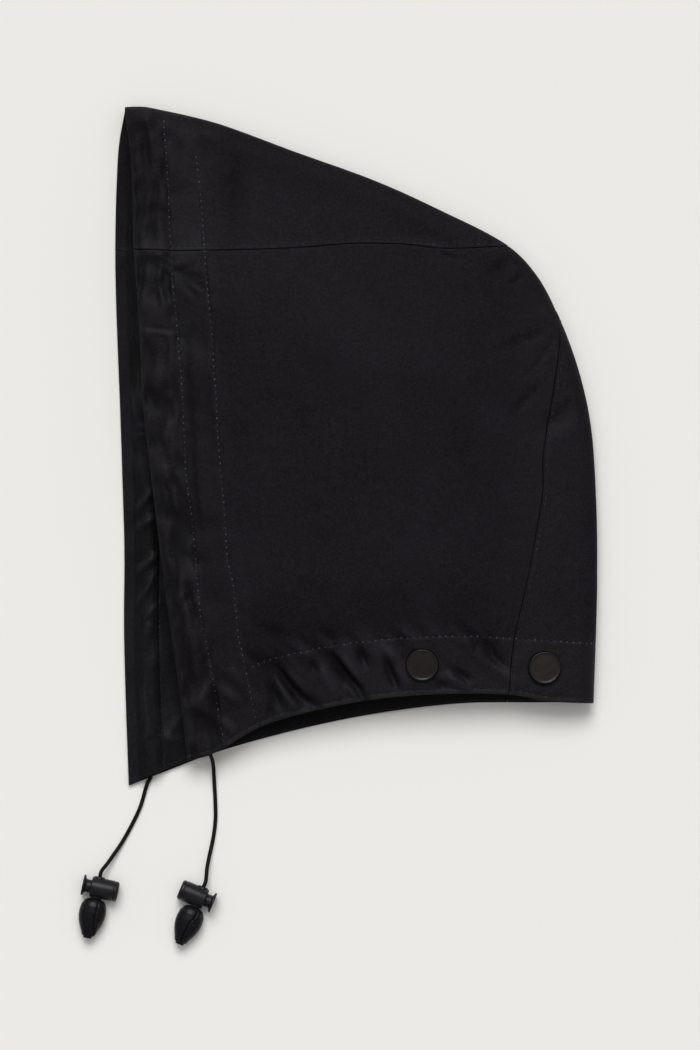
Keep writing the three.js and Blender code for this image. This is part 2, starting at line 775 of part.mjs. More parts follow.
// Widths across the face facing where its surface bends, with the channel's tunnel between.
const faceFacingWidths = [
  TURNED_EDGE,
  CHANNEL_MIDDLE - TUNNEL_HALF - TUNNEL_SLOPE,
  CHANNEL_MIDDLE - TUNNEL_HALF,
  CHANNEL_MIDDLE + TUNNEL_HALF,
  CHANNEL_MIDDLE + TUNNEL_HALF + TUNNEL_SLOPE,
  (CHANNEL_END + FACE_FACING_WIDTH) / 2,
  FACE_FACING_WIDTH,
];

function faceFacing() {
  const flat = {};
  for (const side of ["left", "right"]) {
    const setback = HEM_SETBACK / faceEdge[side].length;
    flat[side] = (u, v) => inFromFace(side, u)(v * (1 - setback));
  }
  const across = mirrored(steps(23).map(nearFold));
  const place = foldedSpots(flat, faceFacingWidths, across);
  const half = FACING / 2;
  return wall(faceFacingWidths.length, across.length, place, facingFace(half), facingFace(-half));
}

function neckFacing() {
  const flat = {};
  for (const side of ["left", "right"]) {
    const from = NECK_FACING_START / hem[side].length;
    const inner = inFromFace(side, NECK_FACING_START);
    const rise = NECK_FACING_DEPTH / faceEdge[side].length;
    const lift = inner(1 - rise).sub(inner(1));
    const backLift = fold.at(1 - NECK_FACING_DEPTH / fold.length).sub(fold.at(1));
    flat[side] = (u, v) => {
      const up = lerp(HEM_SETBACK / NECK_FACING_DEPTH, 1, u);
      const p = hem[side].at(lerp(1, from, v));
      return p.addScaledVector(backLift, (1 - v) * up).addScaledVector(lift, v * up);
    };
  }
  const columns = steps(3);
  const across = mirrored(steps(13).map(nearFold));
  const place = foldedSpots(flat, columns, across);
  const half = FACING / 2;
  return wall(columns.length, across.length, place, facingFace(half), facingFace(-half));
}

// Press studs. Local +Z is the outward normal of the cloth, z 0 the middle of the cloth.
const CAP_UNDER = CLOTH / 2 + CAP_SEAT;
const INNER_FACE = -(CLOTH / 2 + LAYER_GAP + FACING);
const SOCKET_TOP = INNER_FACE - CAP_SEAT;
const SOCKET_OPEN = SOCKET_TOP - SOCKET_HEIGHT;
const RIVET_TOP = SOCKET_TOP - SOCKET_BASE - RIVET_GAP;

function turned(profile, sides = STUD_SIDES) {
  const points = profile.map(([radius, z]) => new THREE.Vector2(radius, z));
  const lathe = new THREE.LatheGeometry(points, sides);
  lathe.rotateX(Math.PI / 2);
  lathe.deleteAttribute("normal");
  lathe.deleteAttribute("uv");
  return outwards(mergeVertices(lathe, 1e-4));
}

// A domed cap with a shallow dished face, on a post that is spread over the socket's base.
function capGeometry() {
  const top = CAP_UNDER + CAP_HEIGHT;
  return turned([
    [0, RIVET_TOP - RIVET_LIP],
    [POST_RADIUS + RIVET_SPREAD, RIVET_TOP - RIVET_LIP],
    [POST_RADIUS, RIVET_TOP],
    [POST_RADIUS, CAP_UNDER],
    [CAP_RADIUS * 0.93, CAP_UNDER],
    [CAP_RADIUS, CAP_UNDER + CAP_HEIGHT * 0.45],
    [CAP_RADIUS * 0.93, top - CAP_HEIGHT * 0.08],
    [CAP_RADIUS * 0.88, top],
    [CAP_RADIUS * 0.84, top - CAP_HEIGHT * 0.05],
    [0, top - CAP_HEIGHT * 0.05],
  ]);
}

function socketGeometry() {
  const rim = SOCKET_RADIUS - SOCKET_TAPER;
  return turned([
    [POST_RADIUS + POST_CLEARANCE, SOCKET_TOP],
    [SOCKET_RADIUS, SOCKET_TOP],
    [SOCKET_RADIUS, SOCKET_TOP - SOCKET_HEIGHT * 0.3],
    [rim, SOCKET_OPEN],
    [SOCKET_BORE, SOCKET_OPEN],
    [SOCKET_BORE, SOCKET_TOP - SOCKET_BASE],
    [POST_RADIUS + POST_CLEARANCE, SOCKET_TOP - SOCKET_BASE],
    [POST_RADIUS + POST_CLEARANCE, SOCKET_TOP],
  ]);
}

function studPlace(side, stud) {
  const centre = placed(stud);
  const { point, normal } = cloth(side, centre.x, centre.y);
  return { point, turn: new THREE.Quaternion().setFromUnitVectors(UP, normal) };
}

function studHole(side, stud) {
  const { point, turn } = studPlace(side, stud);
  const hole = new THREE.CylinderGeometry(
    POST_RADIUS + POST_CLEARANCE,
    POST_RADIUS + POST_CLEARANCE,
    6 * (CLOTH + FACING),
    12,
  );
  hole.rotateX(Math.PI / 2);
  hole.applyQuaternion(turn);
  hole.translate(point.x, point.y, point.z);
  return hole;
}

const frontHoles = { left: [], right: [] };
const backHoles = [];
const allHoles = [];
for (const side of ["left", "right"]) {
  for (const stud of STUDS[side]) {
    const hole = studHole(side, stud);
    allHoles.push(hole);
    if (stud.name === "back") backHoles.push(hole);
    else frontHoles[side].push(hole);
    const place = studPlace(side, stud);
    const cap = add(`stud_cap_${side}_${stud.name}`, capGeometry(), blackMetal);
    const socket = add(`stud_socket_${side}_${stud.name}`, socketGeometry(), blackMetal);
    for (const piece of [cap, socket]) {
      piece.position.copy(place.point);
      piece.quaternion.copy(place.turn);
    }
  }
}

add("side_panel_left", cut(sidePanel("left"), ...frontHoles.left), waxedCotton);
add("side_panel_right", cut(sidePanel("right"), ...frontHoles.right), waxedCotton);
add("crown_panel", crownPanel(), waxedCotton);
add("back_panel", cut(backPanel(), ...backHoles), waxedCotton);
add("face_facing", faceFacing(), facingCloth);
add("neck_facing", cut(neckFacing(), ...allHoles), facingCloth);

// Drawcord ends. The cord runs out of its channel, along the surface, through the lock and
// into the cord end.
function channelPoint(side, back) {
  const share = 1 - back / faceEdge[side].length;
  const p = inFromFace(side, CHANNEL_MIDDLE)(share);
  const { point, normal } = cloth(side, p.x, p.y);
  const depth = CLOTH / 2 + CORD_CLEARANCE + CORD_RADIUS;
  return point.addScaledVector(normal, -depth);
}

function alongSurface(degrees) {
  return new THREE.Vector3(Math.cos(radians(degrees)), Math.sin(radians(degrees)), 0);
}

function cordPoints(side) {
  const mouth = channelPoint(side, 0);
  const free = CORD_ROUTE[side].map(
    (p) => new THREE.Vector3(mouth.x + p.dx, mouth.y + p.dy, p.z),
  );
  const lock = free.pop();
  const tip = alongSurface(LOCK_TURN[side].tip);
  const end = BARREL_RADIUS + BELL_GAP + CORD_IN_BELL;
  const straight = [-BARREL_RADIUS - CORD_LEAD, -BARREL_RADIUS, 0, BARREL_RADIUS, end].map(
    (t) => lock.clone().addScaledVector(tip, t),
  );
  const held = [CORD_HOLD, CORD_HOLD / 2].map((back) => channelPoint(side, back));
  return { points: [...held, mouth, ...free, ...straight], lock, tip };
}

function cordGeometry(points) {
  const curve = new THREE.CatmullRomCurve3(points, false, "centripetal");
  const round = new THREE.Shape();
  round.absarc(0, 0, CORD_RADIUS, 0, 2 * Math.PI);
  const count = Math.round(curve.getLength() / (CORD_STEP * 2 * CORD_RADIUS));
  const tube = new THREE.ExtrudeGeometry(round, {
    steps: count,
    curveSegments: 4,
    extrudePath: curve,
  });
  tube.deleteAttribute("normal");
  tube.deleteAttribute("uv");
  return outwards(mergeVertices(tube, 1e-4));
}

// Cord lock. Local +X points to the barrel's closed end, the cord runs along local Y, and the
// origin is where the cord crosses the barrel's axis.
const OPEN_END = -CORD_HOLE_PLACE * BARREL_LENGTH;
const CLOSED_END = OPEN_END + BARREL_LENGTH;
const BORE_RADIUS = BARREL_RADIUS - BARREL_WALL;
const BORE_END = CLOSED_END - BARREL_WALL;
const STEM_RADIUS = BORE_RADIUS - PLUNGER_CLEARANCE;
const HEAD_BACK = OPEN_END - PLUNGER_TRAVEL - PLUNGER_CLEARANCE;
const HOLE_RADIUS = CORD_RADIUS + CORD_CLEARANCE;
const STEM_END = Math.min(
  BORE_END - PLUNGER_TRAVEL - PLUNGER_CLEARANCE,
  HOLE_RADIUS + STEM_PAST_CORD,
);

function turnedOnX(profile, sides) {
  const geometry = turned(profile, sides);
  geometry.rotateY(Math.PI / 2);
  return geometry;
}

function barrelGeometry() {
  const chamfer = 0.12 * BARREL_RADIUS;
  const shell = turnedOnX(
    [
      [BORE_RADIUS, OPEN_END],
      [BARREL_RADIUS * 0.95, OPEN_END],
      [BARREL_RADIUS, OPEN_END + chamfer],
      [BARREL_RADIUS, CLOSED_END - 2 * chamfer],
      [BARREL_RADIUS * 0.94, CLOSED_END - chamfer * 0.6],
      [BARREL_RADIUS * 0.84, CLOSED_END],
      [0, CLOSED_END],
      [0, BORE_END],
      [BORE_RADIUS, BORE_END],
      [BORE_RADIUS, OPEN_END],
    ],
    20,
  );
  const hole = new THREE.CylinderGeometry(HOLE_RADIUS, HOLE_RADIUS, 3 * BARREL_RADIUS, 12);
  return cut(shell, hole);
}

function plungerGeometry() {
  const neck = HEAD_BACK + PLUNGER_TRAVEL * 0.7;
  const stem = turnedOnX(
    [
      [0, STEM_END],
      [STEM_RADIUS, STEM_END],
      [STEM_RADIUS, neck],
      [STEM_RADIUS, HEAD_BACK],
      [PLUNGER_HEAD_RADIUS, HEAD_BACK - PLUNGER_HEAD_THICK * 0.4],
      [PLUNGER_HEAD_RADIUS, HEAD_BACK - PLUNGER_HEAD_THICK],
      [0, HEAD_BACK - PLUNGER_HEAD_THICK],
    ].reverse(),
    16,
  );
  const slot = new THREE.BoxGeometry(
    2 * HOLE_RADIUS + PLUNGER_TRAVEL,
    3 * STEM_RADIUS,
    2 * HOLE_RADIUS,
  );
  slot.translate(-PLUNGER_TRAVEL / 2, 0, 0);
  return cut(stem, slot);
}

// Cord end: an acorn of flattened sections with a parting groove down its upper face and a
// hole in its top. Local +X is along the cord, towards the tip.
function bellGeometry() {
  const positions = [];
  const index = [];
  const partingSide = Math.round(BELL_SIDES * 0.19);
  for (const row of BELL_SECTIONS) {
    for (let k = 0; k < BELL_SIDES; k++) {
      const angle = (2 * Math.PI * k) / BELL_SIDES;
      const groove = k === partingSide && row.along > 0.1 && row.along < 0.9 ? 0.88 : 1;
      positions.push(
        row.along * BELL_LENGTH,
        (groove * row.width * BELL_WIDTH * Math.cos(angle)) / 2,
        (groove * row.thick * BELL_THICK * Math.sin(angle)) / 2,
      );
    }
  }
  const last = BELL_SECTIONS.length - 1;
  for (let s = 0; s < last; s++) {
    for (let k = 0; k < BELL_SIDES; k++) {
      const a = s * BELL_SIDES + k;
      const b = s * BELL_SIDES + ((k + 1) % BELL_SIDES);
      index.push(a, b, b + BELL_SIDES, a, b + BELL_SIDES, a + BELL_SIDES);
    }
  }
  for (let k = 1; k < BELL_SIDES - 1; k++) {
    index.push(0, k + 1, k);
    index.push(last * BELL_SIDES, last * BELL_SIDES + k, last * BELL_SIDES + k + 1);
  }
  const acorn = outwards(geometryOf(positions, index));
  const depth = CORD_IN_BELL + CORD_CLEARANCE;
  const hole = new THREE.CylinderGeometry(HOLE_RADIUS, HOLE_RADIUS, 2 * depth, 10);
  hole.rotateZ(Math.PI / 2);
  return cut(acorn, hole);
}

for (const side of ["left", "right"]) {
  const { points, lock, tip } = cordPoints(side);
  add(`cord_${side}`, cordGeometry(points), braid);
  const lockGroup = new THREE.Group();
  lockGroup.position.copy(lock);
  lockGroup.rotation.z = radians(LOCK_TURN[side].turn);
  add(`lock_barrel_${side}`, barrelGeometry(), mouldedNylon, lockGroup);
  add(`lock_plunger_${side}`, plungerGeometry(), mouldedNylon, lockGroup);
  hood.add(lockGroup);
  const bell = add(`cord_bell_${side}`, bellGeometry(), glossyNylon);
  bell.position.copy(lock).addScaledVector(tip, BARREL_RADIUS + BELL_GAP);
  bell.rotation.z = radians(LOCK_TURN[side].tip);
}

export default hood;
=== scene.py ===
import math

import bpy
import numpy as np
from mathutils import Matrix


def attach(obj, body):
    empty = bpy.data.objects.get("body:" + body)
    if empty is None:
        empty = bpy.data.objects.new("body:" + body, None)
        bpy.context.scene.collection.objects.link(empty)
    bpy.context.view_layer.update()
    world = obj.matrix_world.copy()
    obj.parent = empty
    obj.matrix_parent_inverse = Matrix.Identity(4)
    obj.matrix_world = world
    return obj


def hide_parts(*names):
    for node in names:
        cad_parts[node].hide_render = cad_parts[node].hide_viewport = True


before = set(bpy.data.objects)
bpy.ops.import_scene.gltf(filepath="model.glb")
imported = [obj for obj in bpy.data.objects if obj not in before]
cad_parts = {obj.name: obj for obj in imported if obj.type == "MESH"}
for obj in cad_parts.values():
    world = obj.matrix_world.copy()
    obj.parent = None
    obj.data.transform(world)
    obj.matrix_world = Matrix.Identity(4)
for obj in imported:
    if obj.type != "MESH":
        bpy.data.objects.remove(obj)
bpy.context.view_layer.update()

# Looks of the detachable waxed-cotton hood that lies flat on its right side. Lengths are in
# millimetres until a mesh is made, +X to the back of the head, +Y to the crown, +Z up.
MM = 0.001

# Camera: straight above, so that a pixel of the photograph is MM_PER_PIXEL wide on the hood
PHOTO_WIDTH = 700
PHOTO_HEIGHT = 1050
MM_PER_PIXEL = 0.505
ORIGIN_PIXEL = (356.0, 446.5)
CAMERA_HEIGHT = 2600.0
LOOK_HEIGHT = 6.0  # height at which the scale is exact
SENSOR = 36.0


def linked(name, data):
    obj = bpy.data.objects.new(name, data)
    bpy.context.scene.collection.objects.link(obj)
    return obj


def add_camera():
    data = bpy.data.cameras.new("camera")
    data.sensor_fit = "VERTICAL"
    data.sensor_height = SENSOR
    data.lens = SENSOR * (CAMERA_HEIGHT - LOOK_HEIGHT) / (PHOTO_HEIGHT * MM_PER_PIXEL)
    data.clip_end = 20
    camera = linked("camera", data)
    x = (PHOTO_WIDTH / 2 - ORIGIN_PIXEL[0]) * MM_PER_PIXEL
    y = (ORIGIN_PIXEL[1] - PHOTO_HEIGHT / 2) * MM_PER_PIXEL
    camera.location = (x * MM, y * MM, CAMERA_HEIGHT * MM)
    bpy.context.scene.camera = camera


add_camera()

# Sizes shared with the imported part
HOOD_DEPTH = 243.4
FACE_HEIGHT = 342.9
LOFT = 15.0
SETTLE = 5.5
FOLD_HALF_GAP = 7.5
FOLD_REACH = 10.0
SWELL_SPAN = 85.0
EDGE_SPAN = 62.0
FACE_SWELL = 0.5
HEM_SWELL = 0.36
SETTLE_REACH = 92.0
CLOTH = 1.4
FACING = 1.0
LAYER_GAP = 0.6
TURNED_EDGE = 6.0
FACE_FACING_WIDTH = 35.0
NECK_FACING_DEPTH = 30.0
NECK_FACING_START = 36.1
CHANNEL_MIDDLE = 12.0
CORD_RADIUS = 1.0
CORD_CLEARANCE = 0.4
CORD_LEAD = 3.0
CORD_HOLD = 9.0
CORD_IN_BELL = 6.5
BARREL_RADIUS = 5.2
BARREL_LENGTH = 14.0
BARREL_WALL = 1.6
PLUNGER_CLEARANCE = 0.35
PLUNGER_TRAVEL = 2.8
CORD_HOLE_PLACE = 0.25
BELL_LENGTH = 20.2
BELL_WIDTH = 13.7
BELL_THICK = 10.3
BELL_GAP = 0.5
CAP_RADIUS = 8.4
CAP_HEIGHT = 2.2
CAP_SEAT = 0.5
POST_RADIUS = 2.1
POST_CLEARANCE = 0.4
RIVET_GAP = 0.3
SOCKET_RADIUS = 6.4
SOCKET_TAPER = 0.9
SOCKET_HEIGHT = 2.6
SOCKET_BORE = 3.9
SOCKET_BASE = 0.8
STUD_FLAT = 1.35
STUD_SLOPE = 3.0
CROWN_SEAM_START = 0.788
CROWN_TIP = 0.7931
BACK_TIP = 0.6996
BACK_SEAM_FOOT = 0.815
CROWN_POINT = 0.9985
BACK_POINT = 0.002

# Outlines in shares of HOOD_DEPTH and FACE_HEIGHT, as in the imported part
FOLD_LINE = (
    (0.0207, 0.9995), (0.0591, 1.0), (0.0934, 0.9956), (0.2075, 0.9764), (0.3734, 0.9337),
    (0.5394, 0.891), (0.6639, 0.8513), (0.8195, 0.7931), (0.8755, 0.7511), (0.9149, 0.6996),
    (0.9564, 0.6244), (0.9855, 0.5376), (0.9979, 0.4212), (1.0, 0.296), (0.9927, 0.1222),
)
FACE_EDGE = {
    "left": (
        (0.0353, 0.9175), (0.0415, 0.7923), (0.0519, 0.6907), (0.0602, 0.5685),
        (0.0788, 0.4477), (0.0985, 0.3299), (0.1203, 0.215), (0.1369, 0.1267),
        (0.1504, 0.0383),
    ),
    "right": (
        (0.0083, 0.9514), (0.0027, 0.8925), (0.0, 0.8189), (0.0006, 0.7305), (0.0093, 0.5611),
        (0.0145, 0.4507), (0.0187, 0.3402), (0.0176, 0.2445), (0.0207, 0.1414), (0.0278, 0.0),
    ),
}
HEM = {
    "left": (
        (0.1504, 0.0383), (0.195, 0.0457), (0.2274, 0.0574), (0.2956, 0.0862),
        (0.3631, 0.1031), (0.5041, 0.1252), (0.6452, 0.1358), (0.8154, 0.1358),
        (0.8983, 0.1256),
    ),
    "right": (
        (0.0278, 0.0), (0.1058, 0.0214), (0.2075, 0.0486), (0.3734, 0.0817), (0.5394, 0.106),
        (0.7054, 0.1208), (0.8921, 0.123),
    ),
}
CROWN_SEAM = (
    (0.1203, 0.7858), (0.2863, 0.7873), (0.3838, 0.79), (0.5104, 0.7968), (0.612, 0.7953),
    (0.6743, 0.7903),
)
BACK_SEAM = (
    (0.9206, 0.6582), (0.9104, 0.592), (0.8942, 0.5243), (0.8865, 0.4831),
    (0.8859, 0.4345), (0.8714, 0.3697), (0.8506, 0.2946), (0.8257, 0.2141),
)
SWELL_CHORDS = (
    ((0.0, 1.0), (0.82, 0.8)),
    ((0.8, 0.82), (0.985, 0.54)),
    ((1.0, 0.6), (1.0, 0.1)),
)
STUDS = {
    "left": {"front": (0.6365, 0.1813), "back": (0.8884, 0.1756)},
    "right": {"front": (0.622, 0.168), "back": (0.8884, 0.1756)},
}
CORD_ROUTE = {
    "left": (
        (0.8, -2.6, 8.6), (1.3, -6, 5.8), (1.5, -10.4, 3.3), (1.7, -15.4, 1.8),
        (2, -20.4, 1.15), (2.2, -25.9, 1.05), (2.3, -31.4, 1.05), (1.9, -36.9, 1.05),
        (1.2, -41.9, 1.15), (0.2, -46.9, 1.7), (-0.9, -51.9, 2.8), (-1.9, -57.4, 4.3),
        (-5.9, -72.1, 5.25),
    ),
    "right": (
        (-1.4, -2.4, 2), (-2.6, -5.6, 1.4), (-3.6, -9.3, 1.1), (-5.1, -14.3, 1.05),
        (-7.2, -19.3, 1.05), (-9.7, -24.3, 1.05), (-12.4, -29.3, 1.15), (-15.4, -34.3, 1.8),
        (-18.5, -38.8, 3), (-21.5, -43.1, 4.4), (-26.7, -55.8, 5.25),
    ),
}
LOCK_TURN = {"left": (157, -113), "right": (-12, -102)}
SIGN = {"left": 1, "right": -1}
SIDES = ("left", "right")


def smooth(t):
    t = np.clip(t, 0, 1)
    return t * t * (3 - 2 * t)


def placed(shares):
    return (np.array(shares, float) - 0.5) * (HOOD_DEPTH, FACE_HEIGHT)


def even_points(points, count):
    """Centripetal smooth line through points, as count + 1 points at equal distances."""
    points = np.array(points, float)
    first = 2 * points[0] - points[1]
    last = 2 * points[-1] - points[-2]
    padded = np.vstack([first, points, last])
    t = np.linspace(0, 1, 40, endpoint=False)[:, None]
    dense = []
    for i in range(len(points) - 1):
        p0, p1, p2, p3 = padded[i : i + 4]
        g0, g1, g2 = (math.sqrt(np.linalg.norm(b - a)) for a, b in ((p0, p1), (p1, p2), (p2, p3)))
        start = g1 * ((p1 - p0) / g0 - (p2 - p0) / (g0 + g1) + (p2 - p1) / g1)
        end = g1 * ((p2 - p1) / g1 - (p3 - p1) / (g1 + g2) + (p3 - p2) / g2)
        bend = 3 * (p2 - p1) - 2 * start - end
        turn = 2 * (p1 - p2) + start + end
        dense.append(p1 + t * (start + t * (bend + t * turn)))
    dense = np.vstack([*dense, points[-1:]])
    reach = np.concatenate([[0], np.cumsum(np.linalg.norm(np.diff(dense, axis=0), axis=1))])
    wanted = np.linspace(0, reach[-1], count + 1)
    return np.stack([np.interp(wanted, reach, axis) for axis in dense.T], axis=1)


class Line:
    """A flat smooth line, walked by its share of length."""

    def __init__(self, points, pieces=160):
        self.points = even_points(points, pieces)
        self.measure()

    def measure(self):
        self.shares = np.linspace(0, 1, len(self.points))
        self.length = np.linalg.norm(np.diff(self.points, axis=0), axis=1).sum()

    def at(self, share):
        x = np.interp(share, self.shares, self.points[:, 0])
        y = np.interp(share, self.shares, self.points[:, 1])
        return np.stack([x, y], axis=-1)

    def share_at_height(self, y, start=0.0):
        low, high = start, 1.0
        for _ in range(40):
            middle = (low + high) / 2
            low, high = (middle, high) if self.at(middle)[1] > y else (low, middle)
        return (low + high) / 2

    def share_at_place(self, x):
        return float(np.interp(x, self.points[:, 0], self.shares))

    def moved(self, amount):
        """The line moved to its right by an amount."""
        along = np.gradient(self.points, axis=0)
        along /= np.linalg.norm(along, axis=1)[:, None]
        other = Line.__new__(Line)
        other.points = self.points + amount * np.stack([along[:, 1], -along[:, 0]], axis=1)
        other.measure()
        return other

    def near(self, flat):
        """Distance of flat points, the unit vector to the line's right there, and the share."""
        run = np.diff(self.points, axis=0)
        square = (run**2).sum(1)
        inward = np.stack([run[:, 1], -run[:, 0]], axis=1) / np.sqrt(square)[:, None]
        far = np.empty(len(flat))
        found = np.empty(len(flat), int)
        share = np.empty(len(flat))
        for start in range(0, len(flat), 4096):
            part = slice(start, start + 4096)
            off = flat[part, None, :] - self.points[:-1]
            t = np.clip((off * run).sum(2) / square, 0, 1)
            off -= t[..., None] * run
            gap = (off**2).sum(2)
            best = gap.argmin(1)
            rows = np.arange(len(best))
            far[part] = gap[rows, best]
            found[part] = best
            share[part] = (best + t[rows, best]) / len(run)
        return np.sqrt(far), inward[found], share


fold = Line(placed(FOLD_LINE)).moved(CLOTH / 2)
crown_tip = fold.share_at_height(placed((0, CROWN_TIP))[1], 0.1)
back_tip = fold.share_at_height(placed((0, BACK_TIP))[1], 0.1)
face_edge, hem, crown_seam, back_seam, seam_on_edge, seam_on_hem = {}, {}, {}, {}, {}, {}
for side in SIDES:
    face_edge[side] = Line(np.vstack([fold.at(0.0), placed(FACE_EDGE[side])]))
    hem[side] = Line(np.vstack([placed(HEM[side]), fold.at(1.0)]))
    seam_on_edge[side] = face_edge[side].share_at_height(placed((0, CROWN_SEAM_START))[1])
    seam_on_hem[side] = hem[side].share_at_place(placed((BACK_SEAM_FOOT, 0))[0])
    start = face_edge[side].at(seam_on_edge[side])
    crown_seam[side] = Line(np.vstack([start, placed(CROWN_SEAM), fold.at(crown_tip)]))
    foot = hem[side].at(seam_on_hem[side])
    back_seam[side] = Line(np.vstack([fold.at(back_tip), placed(BACK_SEAM), foot]))

FOLD_HEIGHT = CLOTH / 2 + FOLD_HALF_GAP


def upper_swell(flat):
    swell = np.full(len(flat), LOFT)
    for start, end in SWELL_CHORDS:
        start, end = placed(start), placed(end)
        along = (end - start) / np.linalg.norm(end - start)
        inside = (flat[:, 0] - start[0]) * along[1] - (flat[:, 1] - start[1]) * along[0]
        swell *= smooth(inside / SWELL_SPAN)
    from_face = smooth(face_edge["left"].near(flat)[0] / EDGE_SPAN)
    from_hem = smooth(hem["left"].near(flat)[0] / EDGE_SPAN)
    swell *= FACE_SWELL + (1 - FACE_SWELL) * from_face
    swell *= HEM_SWELL + (1 - HEM_SWELL) * from_hem
    away = np.linalg.norm(flat - face_edge["left"].at(1.0), axis=1) / SETTLE_REACH
    return swell - SETTLE * np.exp(-away * away)


def from_studs(side, flat):
    """Distance to the nearest stud's flat patch, in cap radii."""
    away = [np.linalg.norm(flat - placed(c), axis=1) for c in STUDS[side].values()]
    return np.min(away, axis=0) / CAP_RADIUS - STUD_FLAT


def lower_lift(flat):
    return (1 - smooth(from_studs("right", flat) / STUD_SLOPE)) * (CAP_HEIGHT + CAP_SEAT)


LAYER = {"left": upper_swell, "right": lower_lift}


def cloth(side, flat):
    """Middle of the cloth over flat points, and its outward normals."""
    d, inward, _ = fold.near(flat)
    inner = np.clip(d / FOLD_REACH, 0, 1)
    round_up = np.sqrt(1 - (1 - inner) ** 2)
    slope = (1 - inner) / (FOLD_REACH * np.maximum(round_up, 0.03))
    step = 0.4
    layer = LAYER[side]
    here = layer(flat)
    layer_x = (layer(flat + (step, 0)) - here) / step
    layer_y = (layer(flat + (0, step)) - here) / step
    rise = SIGN[side] * FOLD_HALF_GAP + here
    point = np.column_stack([flat, FOLD_HEIGHT + round_up * rise])
    normal = np.column_stack(
        [
            -(rise * slope * inward[:, 0] + round_up * layer_x),
            -(rise * slope * inward[:, 1] + round_up * layer_y),
            np.ones(len(flat)),
        ]
    )
    normal *= SIGN[side] / np.linalg.norm(normal, axis=1)[:, None]
    return point, normal


# Meshes, materials' slots and bodies
def outward(points, faces):
    """The faces turned round if they look into the solid."""
    volume = 0.0
    for group in faces:
        for k in range(1, group.shape[1] - 1):
            a, b, c = points[group[:, 0]], points[group[:, k]], points[group[:, k + 1]]
            volume += (a * np.cross(b, c)).sum()
    return [group[:, ::-1] for group in faces] if volume < 0 else faces


def mesh_object(name, points, faces, material, slot, body="hood", uv=None, marks=None):
    """A closed smooth mesh that rides on a CAD body. marks are numbers kept per vertex."""
    faces = outward(points, [np.asarray(group) for group in faces if len(group)])
    mesh = bpy.data.meshes.new(name)
    corners = [list(map(int, face)) for group in faces for face in group]
    mesh.from_pydata((np.asarray(points) * MM).tolist(), [], corners)
    mesh.polygons.foreach_set("use_smooth", np.ones(len(mesh.polygons), bool))
    vertex = np.empty(len(mesh.loops), int)
    mesh.loops.foreach_get("vertex_index", vertex)
    if uv is not None:
        layer = mesh.uv_layers.new(name="cloth")
        layer.data.foreach_set("uv", (uv[vertex] * MM).astype(np.float32).ravel())
    for key, values in (marks or {}).items():
        mark = mesh.attributes.new(key, "FLOAT", "POINT")
        mark.data.foreach_set("value", np.asarray(values, np.float32))
    mesh.materials.append(material)
    mesh.update()
    obj = linked(name, mesh)
    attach(obj, body)
    return obj


# Materials
def new_material(name, base, roughness, specular, metallic=0.0):
    material = bpy.data.materials.new(name)
    material.use_nodes = True
    shader = material.node_tree.nodes["Principled BSDF"]
    shader.inputs["Base Color"].default_value = (*base, 1)
    shader.inputs["Roughness"].default_value = roughness
    shader.inputs["Specular IOR Level"].default_value = specular
    shader.inputs["Metallic"].default_value = metallic
    return material, shader


class Nodes:
    """Short ways to add and join the nodes of a tree."""

    def __init__(self, tree):
        self.tree = tree

    def add(self, kind, **settings):
        node = self.tree.nodes.new(kind)
        for key, value in settings.items():
            setattr(node, key, value)
        return node

    def join(self, source, target):
        self.tree.links.new(source, target)

    def value(self, socket, value):
        if hasattr(value, "is_linked"):
            self.join(value, socket)
        else:
            socket.default_value = value

    def math(self, operation, a, b=0.0, c=0.0):
        node = self.add("ShaderNodeMath", operation=operation)
        for socket, value in zip(node.inputs, (a, b, c)):
            self.value(socket, value)
        return node.outputs[0]

    def spread(self, source, low, high, to_low, to_high):
        node = self.add("ShaderNodeMapRange")
        for name, value in (
            ("Value", source), ("From Min", low), ("From Max", high), ("To Min", to_low),
            ("To Max", to_high),
        ):
            self.value(node.inputs[name], value)
        return node.outputs["Result"]

    def noise(self, vector, size, detail=3.0, rough=0.55):
        """Noise with spots about size millimetres across."""
        node = self.add("ShaderNodeTexNoise")
        node.inputs["Scale"].default_value = 1 / (size * MM)
        node.inputs["Detail"].default_value = detail
        node.inputs["Roughness"].default_value = rough
        self.join(vector, node.inputs["Vector"])
        return node.outputs["Fac"]

    def blend(self, share, low, high):
        node = self.add("ShaderNodeMix", data_type="RGBA")
        self.value(node.inputs["Factor"], share)
        for socket, colour in zip([s for s in node.inputs if s.type == "RGBA"], (low, high)):
            if hasattr(colour, "is_linked"):
                self.join(colour, socket)
            else:
                socket.default_value = (*colour, 1)
        return [s for s in node.outputs if s.type == "RGBA"][0]

    def bump(self, height, distance, under=None):
        node = self.add("ShaderNodeBump")
        node.inputs["Distance"].default_value = distance * MM
        self.join(height, node.inputs["Height"])
        if under is not None:
            self.join(under, node.inputs["Normal"])
        return node.outputs["Normal"]


